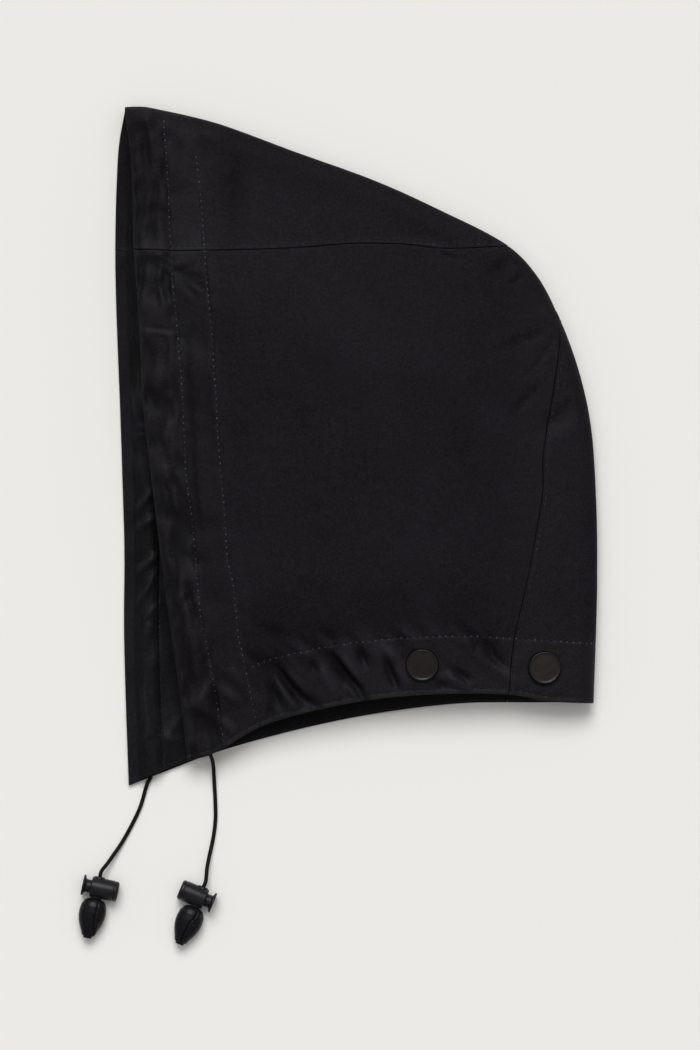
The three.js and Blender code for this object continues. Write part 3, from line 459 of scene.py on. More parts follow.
def cloth_material(name, base, worn_and_lit, roughness, gloss, pitch, relief):
    """Woven cotton with mottled wax. Its second colour is where the cloth shows wear and a painted
    highlight on its folds, gloss the strength of its shine where it is dull and where it is polished."""
    material, shader = new_material(name, base, roughness, gloss[0])
    nodes = Nodes(material.node_tree)
    place = nodes.add("ShaderNodeTexCoord").outputs["Object"]
    flat = nodes.add("ShaderNodeUVMap", uv_map="cloth").outputs["UV"]
    apart = nodes.add("ShaderNodeSeparateXYZ")
    nodes.join(flat, apart.inputs[0])
    turns = 2 * math.pi / (pitch * MM)
    sway = nodes.math("MULTIPLY", nodes.noise(place, 9.0), 5.0)
    threads = []
    for socket in (apart.outputs[0], apart.outputs[1]):
        phase = nodes.math("ADD", nodes.math("MULTIPLY", socket, turns), sway)
        threads.append(nodes.math("SINE", phase))
    weave = nodes.math("MULTIPLY", *threads)
    # painted light and wear: lighter where the cloth shows wear along stitches and seams, a painted
    # highlight on fold ridges and painted shade in fold grooves
    wear_and_painted_light = nodes.add("ShaderNodeAttribute", attribute_name="wear_and_painted_light").outputs["Fac"]
    patches = nodes.noise(place, 40.0, 5.0, 0.55)
    grain = nodes.noise(place, 0.9, 2.0, 0.8)
    mottle = nodes.spread(patches, 0.35, 0.68, 0.0, 0.28)
    specks = nodes.spread(grain, 0.36, 0.72, 0.0, 1.2)
    share = nodes.math("ADD", nodes.math("ADD", mottle, specks), wear_and_painted_light)
    thread_share = nodes.math("MULTIPLY_ADD", weave, 0.16, share)
    colour = nodes.blend(nodes.spread(thread_share, 0.0, 1.6, 0.0, 1.0), base, worn_and_lit)
    nodes.join(colour, shader.inputs["Base Color"])
    polish = nodes.add("ShaderNodeAttribute", attribute_name="polish").outputs["Fac"]
    nodes.join(nodes.spread(polish, 0, 1, *gloss), shader.inputs["Specular IOR Level"])
    rough = nodes.spread(patches, 0.3, 0.7, roughness - 0.05, roughness + 0.05)
    rough = nodes.math("MULTIPLY_ADD", polish, -0.05, rough)
    nodes.join(rough, shader.inputs["Roughness"])
    crumple = nodes.bump(nodes.noise(place, 5.5, 4.0, 0.6), 0.4)
    fine = nodes.bump(nodes.math("MULTIPLY_ADD", grain, 1.6, weave), relief, crumple)
    nodes.join(fine, shader.inputs["Normal"])
    return material


def moulded_material(name, base, roughness, specular, grain_size, relief):
    material, shader = new_material(name, base, roughness, specular)
    nodes = Nodes(material.node_tree)
    place = nodes.add("ShaderNodeTexCoord").outputs["Object"]
    grain = nodes.noise(place, grain_size, 2.0, 0.6)
    rough = nodes.spread(grain, 0.3, 0.7, roughness - 0.05, roughness + 0.05)
    nodes.join(rough, shader.inputs["Roughness"])
    nodes.join(nodes.bump(grain, relief), shader.inputs["Normal"])
    return material


def cord_material():
    material, shader = new_material("black braid", (0.004, 0.004, 0.0035), 0.65, 0.12)
    nodes = Nodes(material.node_tree)
    # strand is high on the crests of the strands, and higher on those laid one way: a painted
    # highlight on the braid
    strand = nodes.add("ShaderNodeAttribute", attribute_name="strand").outputs["Fac"]
    colour = nodes.blend(strand, (0.0008, 0.0008, 0.0007), (0.0140, 0.0132, 0.0100))
    nodes.join(colour, shader.inputs["Base Color"])
    return material


def metal_material():
    material, shader = new_material(
        "gunmetal", (0.041, 0.034, 0.034), 0.38, 0.4, metallic=0.85
    )
    nodes = Nodes(material.node_tree)
    place = nodes.add("ShaderNodeTexCoord").outputs["Object"]
    cloudy = nodes.noise(place, 4.0, 3.0, 0.6)
    rough = nodes.spread(cloudy, 0.3, 0.7, 0.34, 0.48)
    # edge marks the cap's outer rim, painted near black without shine: a painted contact shadow round
    # the cap
    edge = nodes.add("ShaderNodeAttribute", attribute_name="edge").outputs["Fac"]
    nodes.join(nodes.math("MULTIPLY_ADD", edge, 0.3, rough), shader.inputs["Roughness"])
    face = shader.inputs["Base Color"].default_value[:3]
    nodes.join(nodes.blend(edge, face, (0.002, 0.002, 0.002)), shader.inputs["Base Color"])
    nodes.join(nodes.spread(edge, 0, 1, 0.85, 0.0), shader.inputs["Metallic"])
    nodes.join(nodes.spread(edge, 0, 1, 0.4, 0.05), shader.inputs["Specular IOR Level"])
    nodes.join(nodes.bump(nodes.noise(place, 0.5, 2.0, 0.6), 0.02), shader.inputs["Normal"])
    return material


WAXED = cloth_material(
    "waxed cotton", base=(0.0047, 0.0040, 0.0049), worn_and_lit=(0.0158, 0.0142, 0.0175),
    roughness=0.58, gloss=(0.034, 0.078), pitch=1.1, relief=0.02,
)
FACING_CLOTH = cloth_material(
    "facing cloth", base=(0.0040, 0.0037, 0.0042), worn_and_lit=(0.0125, 0.0116, 0.0140),
    roughness=0.5, gloss=(0.03, 0.075), pitch=0.9, relief=0.02,
)
BRAID = cord_material()
MATTE = moulded_material("matte nylon", (0.0084, 0.0074, 0.0102), 0.40, 0.26, 0.6, 0.015)
GLOSSY = moulded_material("glossy nylon", (0.0056, 0.0049, 0.0063), 0.36, 0.17, 2.5, 0.01)
METAL = metal_material()
THREAD, _ = new_material("navy thread", (0.045, 0.052, 0.074), 0.34, 0.4)


def in_from_face(side, width, share):
    """Flat places a width in from the face edge, at shares of it from the fold to the hem."""
    edge, low = face_edge[side], hem[side]
    t = np.asarray(share, float)[..., None]
    at_fold = fold.at(width / fold.length) - edge.at(0.0)
    at_hem = low.at(width / low.length) - edge.at(1.0)
    return edge.at(share) + at_fold * (1 - t) + at_hem * t


# Cords: built first, each a braided tube along the same route as the CAD cord
def channel_point(side, back):
    """Middle of the drawcord in its channel, a distance back from the channel's mouth."""
    flat = in_from_face(side, CHANNEL_MIDDLE, 1 - back / face_edge[side].length)
    point, normal = cloth(side, flat[None])
    return point[0] - normal[0] * (CLOTH / 2 + CORD_CLEARANCE + CORD_RADIUS)


def tube(rings, first, last):
    """Points and faces of a closed tube through rings of points. first and last are the middles
    of its ends."""
    count, around = len(rings), len(rings[0])
    i, j = np.meshgrid(np.arange(count - 1), np.arange(around), indexing="ij")
    k = (j + 1) % around
    sides = np.stack([i, i, i + 1, i + 1], -1) * around + np.stack([j, k, k, j], -1)
    j, k = j[0], k[0]
    low, middle = (count - 1) * around, np.full(around, count * around)
    ends = [np.stack([k, j, middle], 1), np.stack([low + j, low + k, middle + 1], 1)]
    return np.vstack([*rings, first, last]), [sides.reshape(-1, 4), *ends]


def heading(degrees):
    turn = math.radians(degrees)
    return np.array([math.cos(turn), math.sin(turn), 0.0])


def cord_points(side):
    mouth = channel_point(side, 0)
    *free, lock = [np.array([mouth[0] + x, mouth[1] + y, z]) for x, y, z in CORD_ROUTE[side]]
    tip = heading(LOCK_TURN[side][1])
    end = BARREL_RADIUS + BELL_GAP + CORD_IN_BELL
    reach = (-BARREL_RADIUS - CORD_LEAD, -BARREL_RADIUS, 0, BARREL_RADIUS, end)
    held = [channel_point(side, back) for back in (CORD_HOLD, CORD_HOLD / 2)]
    return [*held, mouth, *free, *(lock + tip * t for t in reach)], lock, tip


STRANDS = 4  # laid each way
LAY = 5.2  # length of cord in one turn of a strand
BRAID_STEP = 0.3  # between the rings of a cord
CORD_SEGMENTS = 28


def add_cord(side):
    points, lock, tip = cord_points(side)
    rough_path = even_points(points, 100)
    length = np.linalg.norm(np.diff(rough_path, axis=0), axis=1).sum()
    path = even_points(points, int(length / BRAID_STEP))
    along = np.gradient(path, axis=0)
    along /= np.linalg.norm(along, axis=1)[:, None]
    across = np.cross(along[0], (0, 0, 1.0))
    angle = 2 * math.pi * np.arange(CORD_SEGMENTS) / CORD_SEGMENTS
    rings, strand = [], []
    for i, (centre, ahead) in enumerate(zip(path, along)):
        across = across - ahead * (across @ ahead)
        across /= np.linalg.norm(across)
        up = np.cross(across, ahead)
        reach = 2 * math.pi * i * BRAID_STEP / LAY
        one = np.abs(np.cos(STRANDS * (angle - reach) / 2))
        other = np.abs(np.cos(STRANDS * (angle + reach) / 2))
        weave = np.maximum(one, other)
        radius = CORD_RADIUS * (0.84 + 0.16 * weave)
        rings.append(
            centre
            + radius[:, None] * (np.cos(angle)[:, None] * across + np.sin(angle)[:, None] * up)
        )
        # crests of the strands, painted lighter as a painted highlight on the braid
        strand.append(np.clip(3.2 * (weave - 0.72), 0, 1) * np.where(one > other, 1.0, 0.55))
    points, faces = tube(rings, path[0], path[-1])
    obj = mesh_object(
        f"cord_{side}_braid", points, faces, BRAID, "braided_cord",
        marks={"strand": np.concatenate([*strand, [0, 0]])},
    )
    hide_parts(f"cord_{side}")
    return obj, path, lock, tip


cords = {side: add_cord(side) for side in SIDES}


# Turned and moulded pieces
def softened(profile, radius, cuts=4):
    """A profile with its corners rounded."""
    profile = np.array(profile, float)
    out = [profile[0]]
    for before, corner, after in zip(profile, profile[1:], profile[2:]):
        back, ahead = before - corner, after - corner
        reach = min(radius, 0.45 * np.linalg.norm(back), 0.45 * np.linalg.norm(ahead))
        a = corner + back / np.linalg.norm(back) * reach
        b = corner + ahead / np.linalg.norm(ahead) * reach
        for t in np.linspace(0, 1, cuts + 1):
            out.append((1 - t) ** 2 * a + 2 * t * (1 - t) * corner + t * t * b)
    out.append(profile[-1])
    return np.array(out)


def turned(profile, segments=72):
    """A profile of radius and height turned round Z, from one place on the axis to another, or
    from a place away from the axis round to the same place."""
    ring = profile[0][0] > 1e-6
    body = profile[:-1] if ring else profile[1:-1]
    angle = 2 * math.pi * np.arange(segments) / segments
    points = np.array([[r * math.cos(a), r * math.sin(a), z] for r, z in body for a in angle])
    rows = np.arange(len(body) if ring else len(body) - 1)
    i, j = np.meshgrid(rows, np.arange(segments), indexing="ij")
    below = (i + 1) % len(body)
    k = (j + 1) % segments
    quads = np.stack([i, i, below, below], -1) * segments + np.stack([j, k, k, j], -1)
    faces = [quads.reshape(-1, 4)]
    if not ring:
        points = np.vstack([points, [0, 0, profile[0][1]], [0, 0, profile[-1][1]]])
        j, k = j[0], k[0]
        top, middle = (len(body) - 1) * segments, np.full(segments, len(points) - 2)
        faces.append(np.stack([middle, k, j], 1))
        faces.append(np.stack([top + j, top + k, middle + 1], 1))
    return points, faces


def turned_to(points, axis, place, spin=0.0):
    """Points with local Z turned to axis and local origin moved to place."""
    axis = np.asarray(axis) / np.linalg.norm(axis)
    side = np.cross((0.0, 1.0, 0.0), axis)
    side /= np.linalg.norm(side)
    up = np.cross(axis, side)
    x = math.cos(spin) * points[:, 0] - math.sin(spin) * points[:, 1]
    y = math.sin(spin) * points[:, 0] + math.cos(spin) * points[:, 1]
    return place + x[:, None] * side + y[:, None] * up + points[:, 2:] * axis


CAP_UNDER = CLOTH / 2 + CAP_SEAT
SOCKET_TOP = -(CLOTH / 2 + LAYER_GAP + FACING) - CAP_SEAT
SOCKET_OPEN = SOCKET_TOP - SOCKET_HEIGHT
RIVET_TOP = SOCKET_TOP - SOCKET_BASE - RIVET_GAP


def add_studs():
    top = CAP_UNDER + CAP_HEIGHT
    dish = top - 0.42
    cap = softened(
        [
            (0, RIVET_TOP - 0.5), (2.8, RIVET_TOP - 0.5), (2.8, RIVET_TOP - 0.2),
            (POST_RADIUS, RIVET_TOP), (POST_RADIUS, CAP_UNDER), (7.5, CAP_UNDER),
            (8.2, CAP_UNDER + 0.25), (CAP_RADIUS, CAP_UNDER + 0.95), (8.15, top - 0.35),
            (7.7, top), (7.4, top - 0.04), (6.9, dish), (3.5, dish + 0.16), (0, dish + 0.21),
        ],
        0.35,
    )
    rim = SOCKET_RADIUS - SOCKET_TAPER
    hole = POST_RADIUS + POST_CLEARANCE
    socket = softened(
        [
            (hole, SOCKET_TOP - 0.4), (hole, SOCKET_TOP), (SOCKET_RADIUS, SOCKET_TOP),
            (SOCKET_RADIUS, SOCKET_TOP - 0.8), (rim, SOCKET_OPEN + 0.3), (rim - 0.2, SOCKET_OPEN),
            (SOCKET_BORE + 0.1, SOCKET_OPEN), (SOCKET_BORE, SOCKET_OPEN + 0.4),
            (SOCKET_BORE + 0.25, SOCKET_OPEN + 0.9), (SOCKET_BORE, SOCKET_TOP - SOCKET_BASE),
            (hole, SOCKET_TOP - SOCKET_BASE), (hole, SOCKET_TOP - 0.4),
        ],
        0.2,
    )
    for side in SIDES:
        for name, share in STUDS[side].items():
            point, normal = (v[0] for v in cloth(side, placed(share)[None]))
            for kind, profile in (("cap", cap), ("socket", socket)):
                points, faces = turned(profile)
                # the rim more than 7.75 mm from the axis is marked for a painted contact shadow round
                # the cap
                far = np.hypot(points[:, 0], points[:, 1])
                obj = mesh_object(
                    f"stud_{kind}_{side}_{name}_smooth", turned_to(points, normal, point), faces,
                    METAL, "black_metal", marks={"edge": smooth((far - 7.75) / 0.2)},
                )
                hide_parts(f"stud_{kind}_{side}_{name}")


add_studs()

OPEN_END = -CORD_HOLE_PLACE * BARREL_LENGTH
CLOSED_END = OPEN_END + BARREL_LENGTH
BORE_RADIUS = BARREL_RADIUS - BARREL_WALL
STEM_RADIUS = BORE_RADIUS - PLUNGER_CLEARANCE
HEAD_BACK = OPEN_END - PLUNGER_TRAVEL - PLUNGER_CLEARANCE


def joined(parts):
    """Several closed meshes as one list of points and faces."""
    points, faces, start = [], [], 0
    for part_points, part_faces in parts:
        part_faces = outward(part_points, part_faces)
        faces += [group + start for group in part_faces]
        points.append(part_points)
        start += len(part_points)
    return np.vstack(points), faces


def add_lock(side, lock, tip):
    """Barrel, plunger and cord end of one cord lock."""
    ahead = heading(LOCK_TURN[side][0])
    r = BARREL_RADIUS
    barrel = softened(
        [
            (BORE_RADIUS, OPEN_END + 4), (BORE_RADIUS, OPEN_END), (r * 0.93, OPEN_END),
            (r, OPEN_END + 0.5), (r, CLOSED_END - 2.6), (r - 0.22, CLOSED_END - 2.4),
            (r - 0.22, CLOSED_END - 2.0), (r, CLOSED_END - 1.8), (r * 0.97, CLOSED_END - 0.7),
            (r * 0.84, CLOSED_END), (1.6, CLOSED_END), (1.4, CLOSED_END - 0.25),
            (0.4, CLOSED_END - 0.25), (0.4, CLOSED_END - BARREL_WALL),
            (BORE_RADIUS, CLOSED_END - BARREL_WALL), (BORE_RADIUS, OPEN_END + 4),
        ],
        0.5,
    )
    shell, shell_faces = turned(barrel)
    parts = [(turned_to(shell, ahead, lock), shell_faces)]
    collar = softened(
        [
            (CORD_RADIUS + 0.15, 3.9), (CORD_RADIUS + 0.15, 5.55), (2.5, 5.6), (2.75, 5.2),
            (2.9, 3.9), (CORD_RADIUS + 0.15, 3.9),
        ],
        0.25,
    )
    for way in (tip, -tip):
        ring, ring_faces = turned(collar, 40)
        parts.append((turned_to(ring, way, lock), ring_faces))
    points, faces = joined(parts)
    body = mesh_object(f"lock_barrel_{side}_smooth", points, faces, MATTE, "matte_nylon")
    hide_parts(f"lock_barrel_{side}")
    stem_end = BORE_RADIUS - 1.6
    plunger = softened(
        [
            (0, stem_end), (STEM_RADIUS, stem_end), (STEM_RADIUS, HEAD_BACK + 1.2),
            (STEM_RADIUS + 0.15, HEAD_BACK + 0.3), (4.5, HEAD_BACK - 0.05),
            (5.2, HEAD_BACK - 0.25), (5.2, HEAD_BACK - 1.15), (4.7, HEAD_BACK - 1.2),
            (4.1, HEAD_BACK - 0.85), (0, HEAD_BACK - 0.85),
        ],
        0.3,
    )
    stem, stem_faces = turned(plunger)
    plunge = mesh_object(
        f"lock_plunger_{side}_smooth", turned_to(stem, ahead, lock), stem_faces, MATTE,
        "matte_nylon", body=f"plunger_{side}",
    )
    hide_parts(f"lock_plunger_{side}")
    end = mesh_object(f"cord_bell_{side}_smooth", *bell(side, lock, tip), GLOSSY, "glossy_nylon")
    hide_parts(f"cord_bell_{side}")
    return [body, plunge, end]


# Sections of a cord end: place along it, half width and half thickness in shares
BELL_SECTIONS = (
    (0.0, 0.36, 0.38), (0.004, 0.46, 0.48), (0.03, 0.64, 0.65), (0.08, 0.80, 0.80),
    (0.18, 0.94, 0.94), (0.33, 1.0, 1.0), (0.48, 0.97, 0.97), (0.6, 0.88, 0.88),
    (0.68, 0.79, 0.79), (0.76, 0.68, 0.70), (0.83, 0.575, 0.60), (0.89, 0.50, 0.53),
    (0.93, 0.45, 0.48), (0.94, 0.42, 0.45), (0.945, 0.34, 0.38), (0.99, 0.32, 0.35),
    (1.0, 0.27, 0.29),
)
# Where its parting line runs: place along it, degrees round it from its right side
PARTING = {
    "left": ((0.08, 64), (0.4, 86), (0.7, 90), (0.95, 88)),
    "right": ((0.05, 71), (0.45, 78), (0.74, 64), (0.9, 30)),
}
SLOT = {"start": 0.25, "end": 0.42, "turn": 68, "half": 0.45, "depth": 2.6}  # on the left one
BELL_RINGS = 84
BELL_SEGMENTS = 240


def bell(side, lock, tip):
    """A cord end of two lobes with a curved parting line on its upper face."""
    table = np.array(BELL_SECTIONS)
    shares = np.unique(np.concatenate([np.linspace(0, 1, BELL_RINGS), table[:, 0]]))
    angle = 2 * math.pi * np.arange(BELL_SEGMENTS) / BELL_SEGMENTS
    up = np.array([0, 0, 1.0])
    right = np.cross(up, tip)  # as seen from above with the tip pointing down
    start = lock + tip * (BARREL_RADIUS + BELL_GAP)
    rings = []
    for share in shares:
        wide = np.interp(share, table[:, 0], table[:, 1])
        thick = np.interp(share, table[:, 0], table[:, 2])
        places, turns = np.array(PARTING[side]).T
        parting = math.radians(np.interp(share, places, turns))
        body = smooth(share / 0.06) * smooth((0.93 - share) / 0.05)
        off = (angle - parting) * wide * BELL_WIDTH / 2
        lobes = 0.85 * np.exp(-((off / 0.26) ** 2)) - 0.24 * np.exp(-(((off + 1.5) / 1.2) ** 2))
        if side == "left" and SLOT["start"] < share < SLOT["end"]:
            off = (angle - math.radians(SLOT["turn"])) * wide * BELL_WIDTH / 2
            lobes += SLOT["depth"] * (np.abs(off) < SLOT["half"])
        lobes = 1 - body * lobes / (wide * BELL_THICK / 2)
        flat = np.stack([np.cos(angle) * wide * BELL_WIDTH, np.sin(angle) * thick * BELL_THICK], 1)
        flat *= lobes[:, None] / 2
        rings.append(start + tip * share * BELL_LENGTH + flat[:, :1] * right + flat[:, 1:] * up)
    return tube(rings, start, start + tip * BELL_LENGTH)


for side, (obj, path, lock, tip) in cords.items():
    pieces = add_lock(side, lock, tip)
    length = np.linalg.norm(np.diff(path, axis=0), axis=1).sum() * MM


# Relief of the cloth
def noise(x, y, size, seed):
    """Smooth hills from -1 to 1, about size across, from a seeded table."""
    rng = np.random.RandomState(seed)
    table = rng.uniform(-1, 1, (128, 128))
    turn = rng.uniform(0, math.pi)
    u = (x * math.cos(turn) - y * math.sin(turn)) / size + 500.5
    v = (x * math.sin(turn) + y * math.cos(turn)) / size + 500.5
    i, j = np.floor(u).astype(int), np.floor(v).astype(int)
    fu, fv = u - i, v - j
    fu, fv = (f**3 * (f * (6 * f - 15) + 10) for f in (fu, fv))
    i0, i1, j0, j1 = i % 128, (i + 1) % 128, j % 128, (j + 1) % 128
    low = table[i0, j0] * (1 - fu) + table[i1, j0] * fu
    high = table[i0, j1] * (1 - fu) + table[i1, j1] * fu
    return low * (1 - fv) + high * fv


def hills(table, x, y):
    """Sum of a table's hills, in rows of rise, size and seed."""
    return sum(rise * noise(x, y, size, seed) for rise, size, seed in table)


NEAR_HILLS = ((0.55, 62, 1), (0.26, 27, 2), (0.1, 12, 3))
FAR_HILLS = ((0.12, 34, 11), (0.05, 13, 12))
FAR_DROP = 0.17  # keeps the hills of the far side below the cloth that it lies under
CRUMPLES = ((0.07, 5.5, 21), (0.045, 2.6, 22))

# Creases and folds of the upper cloth: points, half width, rise. Below 0 it is a groove.
FOLDS = (
    # gathers at the neck
    (((-40.9, -109.3), (-35.9, -116.9), (-27.8, -126.0), (-20.7, -131.0)), 2.8, -3.8),
    (((-39.9, -116.9), (-34.8, -125.0), (-30.8, -131.0)), 1.8, 3.0),
    (((-35.9, -110.8), (-29.8, -118.9), (-24.7, -125.0)), 2.8, 1.7),
    (((-43.5, -120.5), (-38.0, -131.0)), 2.0, -2.3),
    (((-22.7, -106.8), (-19.7, -112.9)), 2.2, -2.5),
    (((-18.7, -109.8), (-12.6, -119.9), (-10.6, -124.0)), 3.5, 1.9),
    (((-11.6, -104.8), (-6.6, -112.9), (-0.5, -120.9), (3.5, -128.0)), 2.5, -4.4),
    (((-4.5, -118.9), (1.5, -127.5)), 1.6, 2.8),
    (((-7.6, -104.8), (-2.5, -111.9), (1.5, -117.9)), 2.5, 2.7),
    (((1.5, -102.8), (4.5, -109.8)), 2.0, -2.7),
    (((13.6, -100.7), (19.7, -106.8), (25.8, -116.9)), 2.2, 3.2),
    (((14.6, -107.8), (17.7, -114.9), (20.7, -121.0)), 2.1, -3.4),
    (((21.7, -98.7), (24.7, -105.8)), 1.8, -2.1),
    (((-43.1, -130.6), (-43.1, -136.1)), 1.5, -1.7),
    (((-45.3, -91.2), (-36.7, -95.2)), 3.5, -1.3),
    (((-16.5, -93.2), (-6.4, -97.2)), 3.2, -1.3),
    # beside the front stud and between the studs
    (((50.0, -112.9), (56.0, -118.0)), 2.0, -2.3),
    (((41.9, -113.9), (49.0, -116.9), (55.0, -121.0)), 2.1, 3.4),
    (((39.9, -116.9), (44.0, -121.0)), 1.6, -3.0),
    (((65.7, -98.7), (69.2, -105.8), (75.3, -111.9)), 2.0, -2.5),
    (((59.2, -98.7), (60.7, -104.3)), 1.6, -1.5),
    (((69.0, -108.0), (80.0, -119.0)), 3.0, 1.5),
    # near the crown seam and the turn of the crown
    (((42.5, 97.2), (50.1, 94.7)), 0.9, -0.9),
    (((77.4, 94.7), (68.3, 86.1)), 3.0, -0.9),
    (((82.9, 87.1), (80.5, 83.5), (76.9, 82.1)), 1.0, -0.9),
    (((93.0, 56.3), (73.4, 50.2)), 2.6, -0.7),
    (((100.1, 55.8), (93.5, 45.0), (86.0, 35.6)), 0.9, -0.7),
    (((92.0, 30.0), (79.9, 17.9)), 2.4, -0.7),
    (((93.0, 68.4), (99.1, 63.4)), 1.1, 0.8),
    (((47.1, 104.0), (47.1, 99.6)), 0.9, -0.8),
    (((60.2, 104.5), (60.2, 99.9)), 0.9, -0.8),
    (((67.3, 104.5), (67.6, 99.9)), 1.0, -0.8),
    (((97.1, 2.8), (110.7, 12.4)), 4.5, 0.9),
    (((94.0, 9.5), (107.0, 19.5)), 3.2, -0.8),
    # fan below the crown seam, between the two front stitch lines
    (((-90.8, 88.1), (-82.2, 89.6)), 1.3, -0.8),
    (((-90.8, 88.1), (-76.6, 83.6)), 1.3, -0.9),
    (((-90.8, 87.1), (-72.6, 77.0)), 1.4, -0.9),
    (((-90.8, 86.1), (-79.2, 74.0)), 1.3, -0.8),
    (((-98.9, 98.2), (-91.8, 92.6)), 1.1, -0.8),
    (((-98.9, 94.2), (-91.8, 88.6)), 1.1, -0.9),
    (((-99.9, 89.7), (-92.3, 84.2)), 1.1, -0.8),
    # front of the crown
    (((-105.4, 160.3), (-93.3, 153.8)), 2.8, -0.9),
    (((-61.0, 154.0), (-61.5, 130.0), (-61.0, 106.0)), 5.5, -0.9),
    # drawcord channel
    (((-107.4, 60.4), (-92.4, 58.2)), 0.9, -0.7),
    (((-107.4, 57.6), (-91.8, 55.6)), 1.1, 1.1),
    (((-92.8, 54.3), (-92.8, 37.1)), 1.6, 0.9),
    (((-94.3, 31.0), (-94.3, 26.5)), 1.9, -1.0),
    (((-99.4, 51.8), (-99.4, 23.5)), 2.8, 0.9),
    (((-85.6, 53.8), (-83.6, 20.0), (-81.8, -16.0), (-78.6, -45.0), (-77.2, -57.0)), 2.0, -1.0),
    (((-93.0, 10.0), (-90.0, -20.0)), 2.6, 0.8),
    (((-99.5, -14.0), (-96.0, -44.0)), 2.2, -0.6),
    (((-88.0, -60.0), (-84.0, -92.0)), 2.4, 0.8),
    (((-84.8, -130.0), (-78.8, -128.0), (-73.7, -117.9)), 2.0, 2.0),
    (((-84.8, -148.2), (-78.8, -147.2)), 1.6, 1.2),
    (((-88.9, -80.5), (-81.8, -74.5)), 1.6, -1.4),
    (((-68.7, -122.0), (-58.6, -128.0)), 1.8, 1.5),
    (((-67.7, -138.0), (-60.6, -144.0)), 1.7, 1.7),
    (((-72.0, -121.0), (-69.5, -134.0)), 1.6, -1.7),
)
# Creases of the facing seen through the face opening, which rise towards the eye
FACING_FOLDS = (
    (((-112.5, 30.0), (-111.5, 22.0), (-110.0, 14.0)), 1.7, 1.1),
    (((-108.5, 26.0), (-107.0, 17.0)), 1.5, 1.0),
    (((-113.0, 10.5), (-106.0, 9.0)), 0.9, 0.8),
    (((-113.0, 6.5), (-106.0, 5.0)), 1.0, 0.8),
    (((-113.5, -3.0), (-108.0, -14.0)), 2.4, 0.7),
    (((-110.0, -31.0), (-102.5, -22.0)), 1.7, 1.7),
    (((-111.0, -41.0), (-101.0, -35.5)), 1.7, 1.7),
    (((-110.0, -62.5), (-99.0, -53.5)), 1.7, 1.6),
    (((-110.5, -79.0), (-104.5, -70.0), (-100.5, -62.0)), 1.2, 1.2),
    (((-106.5, -86.5), (-99.5, -79.5)), 1.7, 1.1),
    (((-107.5, -98.0), (-103.0, -88.0)), 2.2, 0.8),
    (((-108.0, -122.0), (-106.0, -134.0), (-104.0, -146.0)), 1.4, 1.1),
    (((-104.0, -112.0), (-99.5, -101.0)), 2.4, 0.7),
    (((-96.5, -146.0), (-90.0, -149.0)), 1.8, 1.2),
    (((-98.0, -150.0), (-88.0, -136.0)), 2.4, 0.8),
)


def folds(table, flat):
    """Sum of a table's creases at flat points."""
    total = np.zeros(len(flat))
    for points, width, rise in table:
        line = np.array(points, float)
        low, high = line.min(0) - 3 * width, line.max(0) + 3 * width
        inside = np.flatnonzero(((flat > low) & (flat < high)).all(1))
        if not len(inside):
            continue
        bent = Line(points, 24) if len(points) > 2 else Line(points, 8)
        d, _, share = bent.near(flat[inside])
        taper = 0.3 + 0.7 * np.sin(math.pi * np.clip(share, 0.02, 0.98)) ** 0.7
        total[inside] += rise * taper * np.exp(-((d / width) ** 2))
    return total


# Lines of stitching on the upper cloth
CHANNEL_STITCHES = (
    (-96.8, 164.4), (-96.2, 154.5), (-95.4, 146.7), (-94.6, 132.6), (-93.4, 106.3),
    (-92.6, 98.2), (-91.8, 80.5), (-90.3, 64.9), (-88.8, 48.7), (-87.2, 28.0), (-86.2, 4.3),
    (-85.0, -16.9), (-82.3, -36.1), (-81.2, -47.2), (-79.4, -68.9), (-77.6, -86.6),
    (-75.0, -99.7), (-73.6, -107.8), (-70.6, -124.2), (-68.9, -136.6), (-67.0, -146.2),
    (-66.0, -150.2),
)
FACING_STITCHES = (
    (-83.6, 163.6), (-82.0, 153.0), (-80.6, 146.0), (-79.9, 141.7), (-79.2, 136.0),
    (-78.4, 127.0), (-77.5, 119.4), (-76.6, 105.8), (-76.0, 98.2), (-75.1, 85.6),
    (-73.6, 71.0), (-71.6, 49.2), (-71.1, 36.6), (-70.3, 28.5), (-69.3, 7.8), (-67.6, -13.4),
    (-66.0, -30.0), (-64.6, -53.3), (-64.0, -58.6), (-61.5, -68.9), (-59.8, -84.1),
    (-58.8, -96.2), (-57.4, -101.8), (-54.8, -115.4), (-52.7, -126.0), (-51.0, -134.1),
    (-49.4, -140.6),
)
NECK_STITCHES = (
    (-54.8, -111.2), (-47.3, -108.8), (-42.8, -107.2), (-33.2, -104.4), (-20.6, -101.8),
    (-8.5, -99.4), (5.2, -98.1), (18.3, -96.7), (46.1, -95.4), (64.8, -96.0), (79.4, -96.7),
    (99.1, -98.0), (119.0, -99.4),
)
TOPSTITCH = 1.7  # from a seam to its row of stitches
HEM_STITCH = 2.3  # from the hem to its row of stitches
CHANNEL_STRIP = 18.5  # from the near face edge to the channel's stitches
FACING_STRIP = {"panel": 35.0, "crown": 33.0}  # from that edge to the facing's stitches
NECK_BAND = 29.0  # from the hem to the neck's stitches
STITCH_PITCH = 3.25
GROOVE = 0.62  # half width of the groove that stitches lie in
FAR_CHANNEL = 18.8  # from the far face edge to the stitches of its channel


def beside_face(side, width):
    """The line a width in from the face edge."""
    return Line(in_from_face(side, width, face_edge[side].shares))


